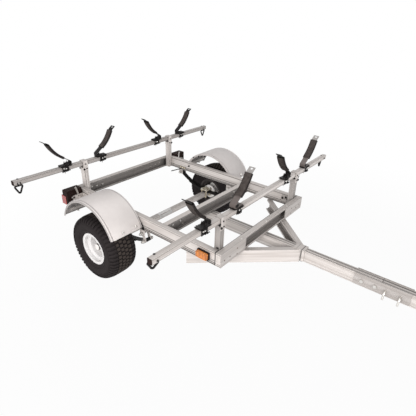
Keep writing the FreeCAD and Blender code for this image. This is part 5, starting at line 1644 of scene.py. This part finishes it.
@dataclass
class RunningGear:
    """Bolt ends round the springs, the fenders' stays, a dark sheet of painted shadow between each fender
    and its rail, and the blank label on the axle.
    """

    clip_nuts: tuple[Pair, ...] = ((-0.024, -0.0265), (-0.024, 0.0265), (0.024, -0.0265), (0.024, 0.0265))
    eye_bolts: tuple[Pair, ...] = ((-0.290, 0.372), (0.268, 0.372), (0.283, 0.316))
    hanger_nuts: tuple[Pair, ...] = ((-0.243, 0.423), (-0.268, 0.421), (-0.290, 0.424))
    bracket_nuts: tuple[Pair, ...] = ((-0.174, 0.532), (-0.112, 0.558), (-0.043, 0.572))
    stay_place: float = -0.290
    stay: tuple[Pair, ...] = ((0.341, 0.418), (0.428, 0.409), (0.466, 0.405))
    # Place and lean of the sheet of painted shadow between fender and rail.
    gap: Triple = (0.262, 0.5110, 0.420)
    gap_lean: float = math.radians(62.0)
    label: float = 0.140

    def build(self) -> None:
        """Add the small parts round the springs and the axle."""
        self.springs()
        yellow = Fasteners("hanger_nuts", "yellow_plate", "zinc_hardware")
        black = Fasteners("fender_stays", "spring_black")
        for side in Side:
            way = side.value
            inwards = ACROSS * -way
            for x, z in self.hanger_nuts:
                yellow.add(Head.HEX, Vector((ahead(x), way * 0.4655, z)), inwards, 0.0075)
            for x, z in self.bracket_nuts:
                black.add(Head.NUT, Vector((ahead(x), way * 0.5118, z)), inwards, 0.0060)
            stay = [Vector((ahead(self.stay_place), way * y, z)) for y, z in self.stay]
            for first, second in zip(stay, stay[1:]):
                run = second - first
                disc(black.shape, 0.0042, run.length, turned_to(run, first), 12, ease=0.0006)
            # A dark sheet where there is only shadow: painted shadow between the fender's inner edge and the
            # rail.
            x, y, z = self.gap
            place = Matrix.Translation((ahead(x), way * y, z)) @ Matrix.Rotation(self.gap_lean, 4, "Y")
            block(black.shape, (0.052, 0.0016, 0.020), place)
        yellow.close()
        black.close()
        label = bmesh.new()
        middle = middle_of("axle") - ACROSS * 0.045
        front = middle + ALONG * 0.0193 + UPWARDS * 0.002
        block(label, (0.0006, self.label, 0.026), Matrix.Translation(front))
        block(label, (0.026, self.label, 0.0006), Matrix.Translation(middle + UPWARDS * 0.0193))
        as_piece("axle_label", label, "blank_label", "frame")

    def springs(self) -> None:
        """Add the nuts on the spring clips and the bolts through the springs' eyes."""
        bright = Fasteners("spring_bolts")
        top = box_of("axle_clamps")[1].z - 0.012
        for side in Side:
            low, high = box_of(f"spring_{side.word}")
            y = (low.y + high.y) / 2
            for x, shift in self.clip_nuts:
                bright.add(Head.NUT, Vector((ahead(x), y + shift, top)), UPWARDS, 0.009)
            for x, z in self.eye_bolts:
                for face in (-1, 1):
                    bright.add(Head.NUT if face == side.value else Head.HEX,
                               Vector((ahead(x), y + face * 0.036, z)), ACROSS * face, 0.012)
        bright.close()


@dataclass
class FrontEnd:
    """Grip, caps and pins of the jack and the coupler, past the picture's edge."""

    coupler_bolts: Pair = (0.018, 0.054)

    def build(self) -> None:
        """Add the small parts at the front."""
        crank = box_of("jack_crank")[1]
        grip = bmesh.new()
        end = Vector((middle_of("jack_crank").x, crank.y, crank.z - 0.0055))
        disc(grip, 0.0135, 0.040, turned_to(-ACROSS, end), top=0.0115, ease=0.002)
        as_piece("crank_grip", grip, "cap_black", "jack")
        top = middle_of("jack_leg")
        top.z = box_of("jack_tube")[1].z - 0.003
        cap = bmesh.new()
        disc(cap, 0.0215, 0.0030, Matrix.Translation(top), 32)
        as_piece("jack_cap", cap, "cap_black", "jack")
        bright = Fasteners("coupler_bolts")
        for x in self.coupler_bolts:
            for way in (-1, 1):
                spot = Vector((box_of("coupler")[0].x + x, way * 0.029, middle_of("coupler").z - 0.010))
                bright.add(Head.HEX if way < 0 else Head.NUT, spot, ACROSS * way, 0.012)
        bright.close()


# ---------------------------------------------------------------- studio
@dataclass
class Studio:
    """Floor, lights and camera."""

    eye: Vector = field(default_factory=lambda: Vector((ahead(1.863), -1.860, 1.646)))
    azimuth: float = math.radians(37.93)
    elevation: float = math.radians(27.58)
    roll: float = math.radians(2.0)
    focal: float = 358.72
    picture: float = 416.0
    sensor: float = 36.0
    aim: Vector = field(default_factory=lambda: Vector((-0.6, 0.0, 0.4)))
    floor_half: float = 4.0
    floor_drop: float = 0.0005
    floor_tone: float = 0.42
    fade: Pair = (1.4, 3.2)
    near_white: float = 0.955
    sky: Colour = (0.42, 0.42, 0.43)
    lamps: tuple[tuple[str, Triple, float, float, Colour], ...] = (
        ("key", (0.6, -4.6, 1.9), 2.8, 190.0, (1.0, 0.975, 0.96)),
        ("front", (8.0, -1.9, 2.9), 4.5, 290.0, (1.0, 0.985, 0.975)),
        ("over", (-1.0, 0.6, 4.4), 3.6, 45.0, (1.0, 1.0, 1.0)))

    def camera(self) -> None:
        """Stand the camera where the picture was taken from."""
        az, el, roll = self.azimuth, self.elevation, self.roll
        view = Vector((-math.sin(az) * math.cos(el), math.cos(az) * math.cos(el), -math.sin(el)))
        level = view.cross(UPWARDS).normalized()
        upright = level.cross(view)
        right = level * math.cos(roll) + upright * math.sin(roll)
        up = upright * math.cos(roll) - level * math.sin(roll)
        lens = bpy.data.cameras.new("camera")
        lens.sensor_width = self.sensor
        lens.lens = self.focal * self.sensor / self.picture
        lens.clip_end = 200.0
        made = bpy.data.objects.new("camera", lens)
        made.matrix_world = Matrix.Translation(self.eye) @ Matrix((right, up, -view)).transposed().to_4x4()
        bpy.context.scene.collection.objects.link(made)
        bpy.context.scene.camera = made

    def lamp(self, name: str, place: Vector, size: float, power: float, colour: Colour) -> None:
        """Add one soft light that faces the trailer.

        Args:
            name: Its name.
            place: Where it hangs.
            size: Its width.
            power: Its power in watts.
            colour: Its colour.
        """
        light = bpy.data.lights.new(name, "AREA")
        light.shape = "DISK"
        light.size = size
        light.energy = power
        light.color = colour
        made = bpy.data.objects.new(name, light)
        made.matrix_world = turned_to(place - self.aim, place)
        bpy.context.scene.collection.objects.link(made)

    def floor(self) -> None:
        """Lay the pale floor, which keeps the shadow and fades to white."""
        shape = bmesh.new()
        bmesh.ops.create_grid(shape, x_segments=1, y_segments=1, size=self.floor_half)
        mesh = bpy.data.meshes.new("floor")
        shape.to_mesh(mesh)
        shape.free()
        made = bpy.data.objects.new("floor", mesh)
        bpy.context.scene.collection.objects.link(made)
        made.location.z = -self.floor_drop
        mesh.materials.append(self.floor_material())

    def floor_material(self) -> bpy.types.Material:
        """Make the floor's finish: grey to the lamps, and white to the eye where it is far.

        Returns:
            The material.
        """
        material = bpy.data.materials.new("Pale floor")
        material.use_nodes = True
        nodes = material.node_tree.nodes
        wire = Wiring(material.node_tree)
        grey = (self.floor_tone, self.floor_tone, self.floor_tone, 1.0)
        wire.feed(nodes["Principled BSDF"], {"Base Color": grey, "Roughness": 0.9})
        white = wire.add("ShaderNodeEmission", {"Color": (1.0, 1.0, 1.0, 1.0)})
        place = wire.add("ShaderNodeTexCoord").outputs["Object"]
        far = wire.add("ShaderNodeVectorMath", {0: place}, operation="LENGTH").outputs["Value"]
        shown = wire.math("MULTIPLY", wire.seen(), wire.ramp(far, *self.fade, self.near_white))
        mix = wire.add("ShaderNodeMixShader", {0: shown, 1: nodes["Principled BSDF"].outputs[0],
                                               2: white.outputs[0]})
        wire.join(mix.outputs[0], nodes["Material Output"].inputs["Surface"])
        return material

    def surroundings(self) -> None:
        """Set the world: white to the eye, softer as light."""
        world = bpy.data.worlds.new("studio")
        bpy.context.scene.world = world
        world.use_nodes = True
        wire = Wiring(world.node_tree)
        wire.feed(world.node_tree.nodes["Background"],
                  {"Color": wire.blend(wire.seen(), self.sky, (1.0, 1.0, 1.0)), "Strength": 1.0})

    def build(self) -> None:
        """Set up the whole studio."""
        bpy.context.scene.view_settings.view_transform = "Standard"
        self.camera()
        self.floor()
        self.surroundings()
        for name, place, size, power, colour in self.lamps:
            self.lamp(name, Vector(place), size, power, colour)


def main() -> None:
    """Build every sub-assembly in order and the studio round them."""
    logging.basicConfig(level=logging.INFO, format="%(name)s: %(message)s")
    FrameDress().build()
    for side in Side:
        Wheel(side).build()
        Fender(side).build()
    for assembly in (LoadBars(), Lamps(), RunningGear(), FrontEnd(), Studio()):
        assembly.build()


if __name__ == "__main__":
    main()
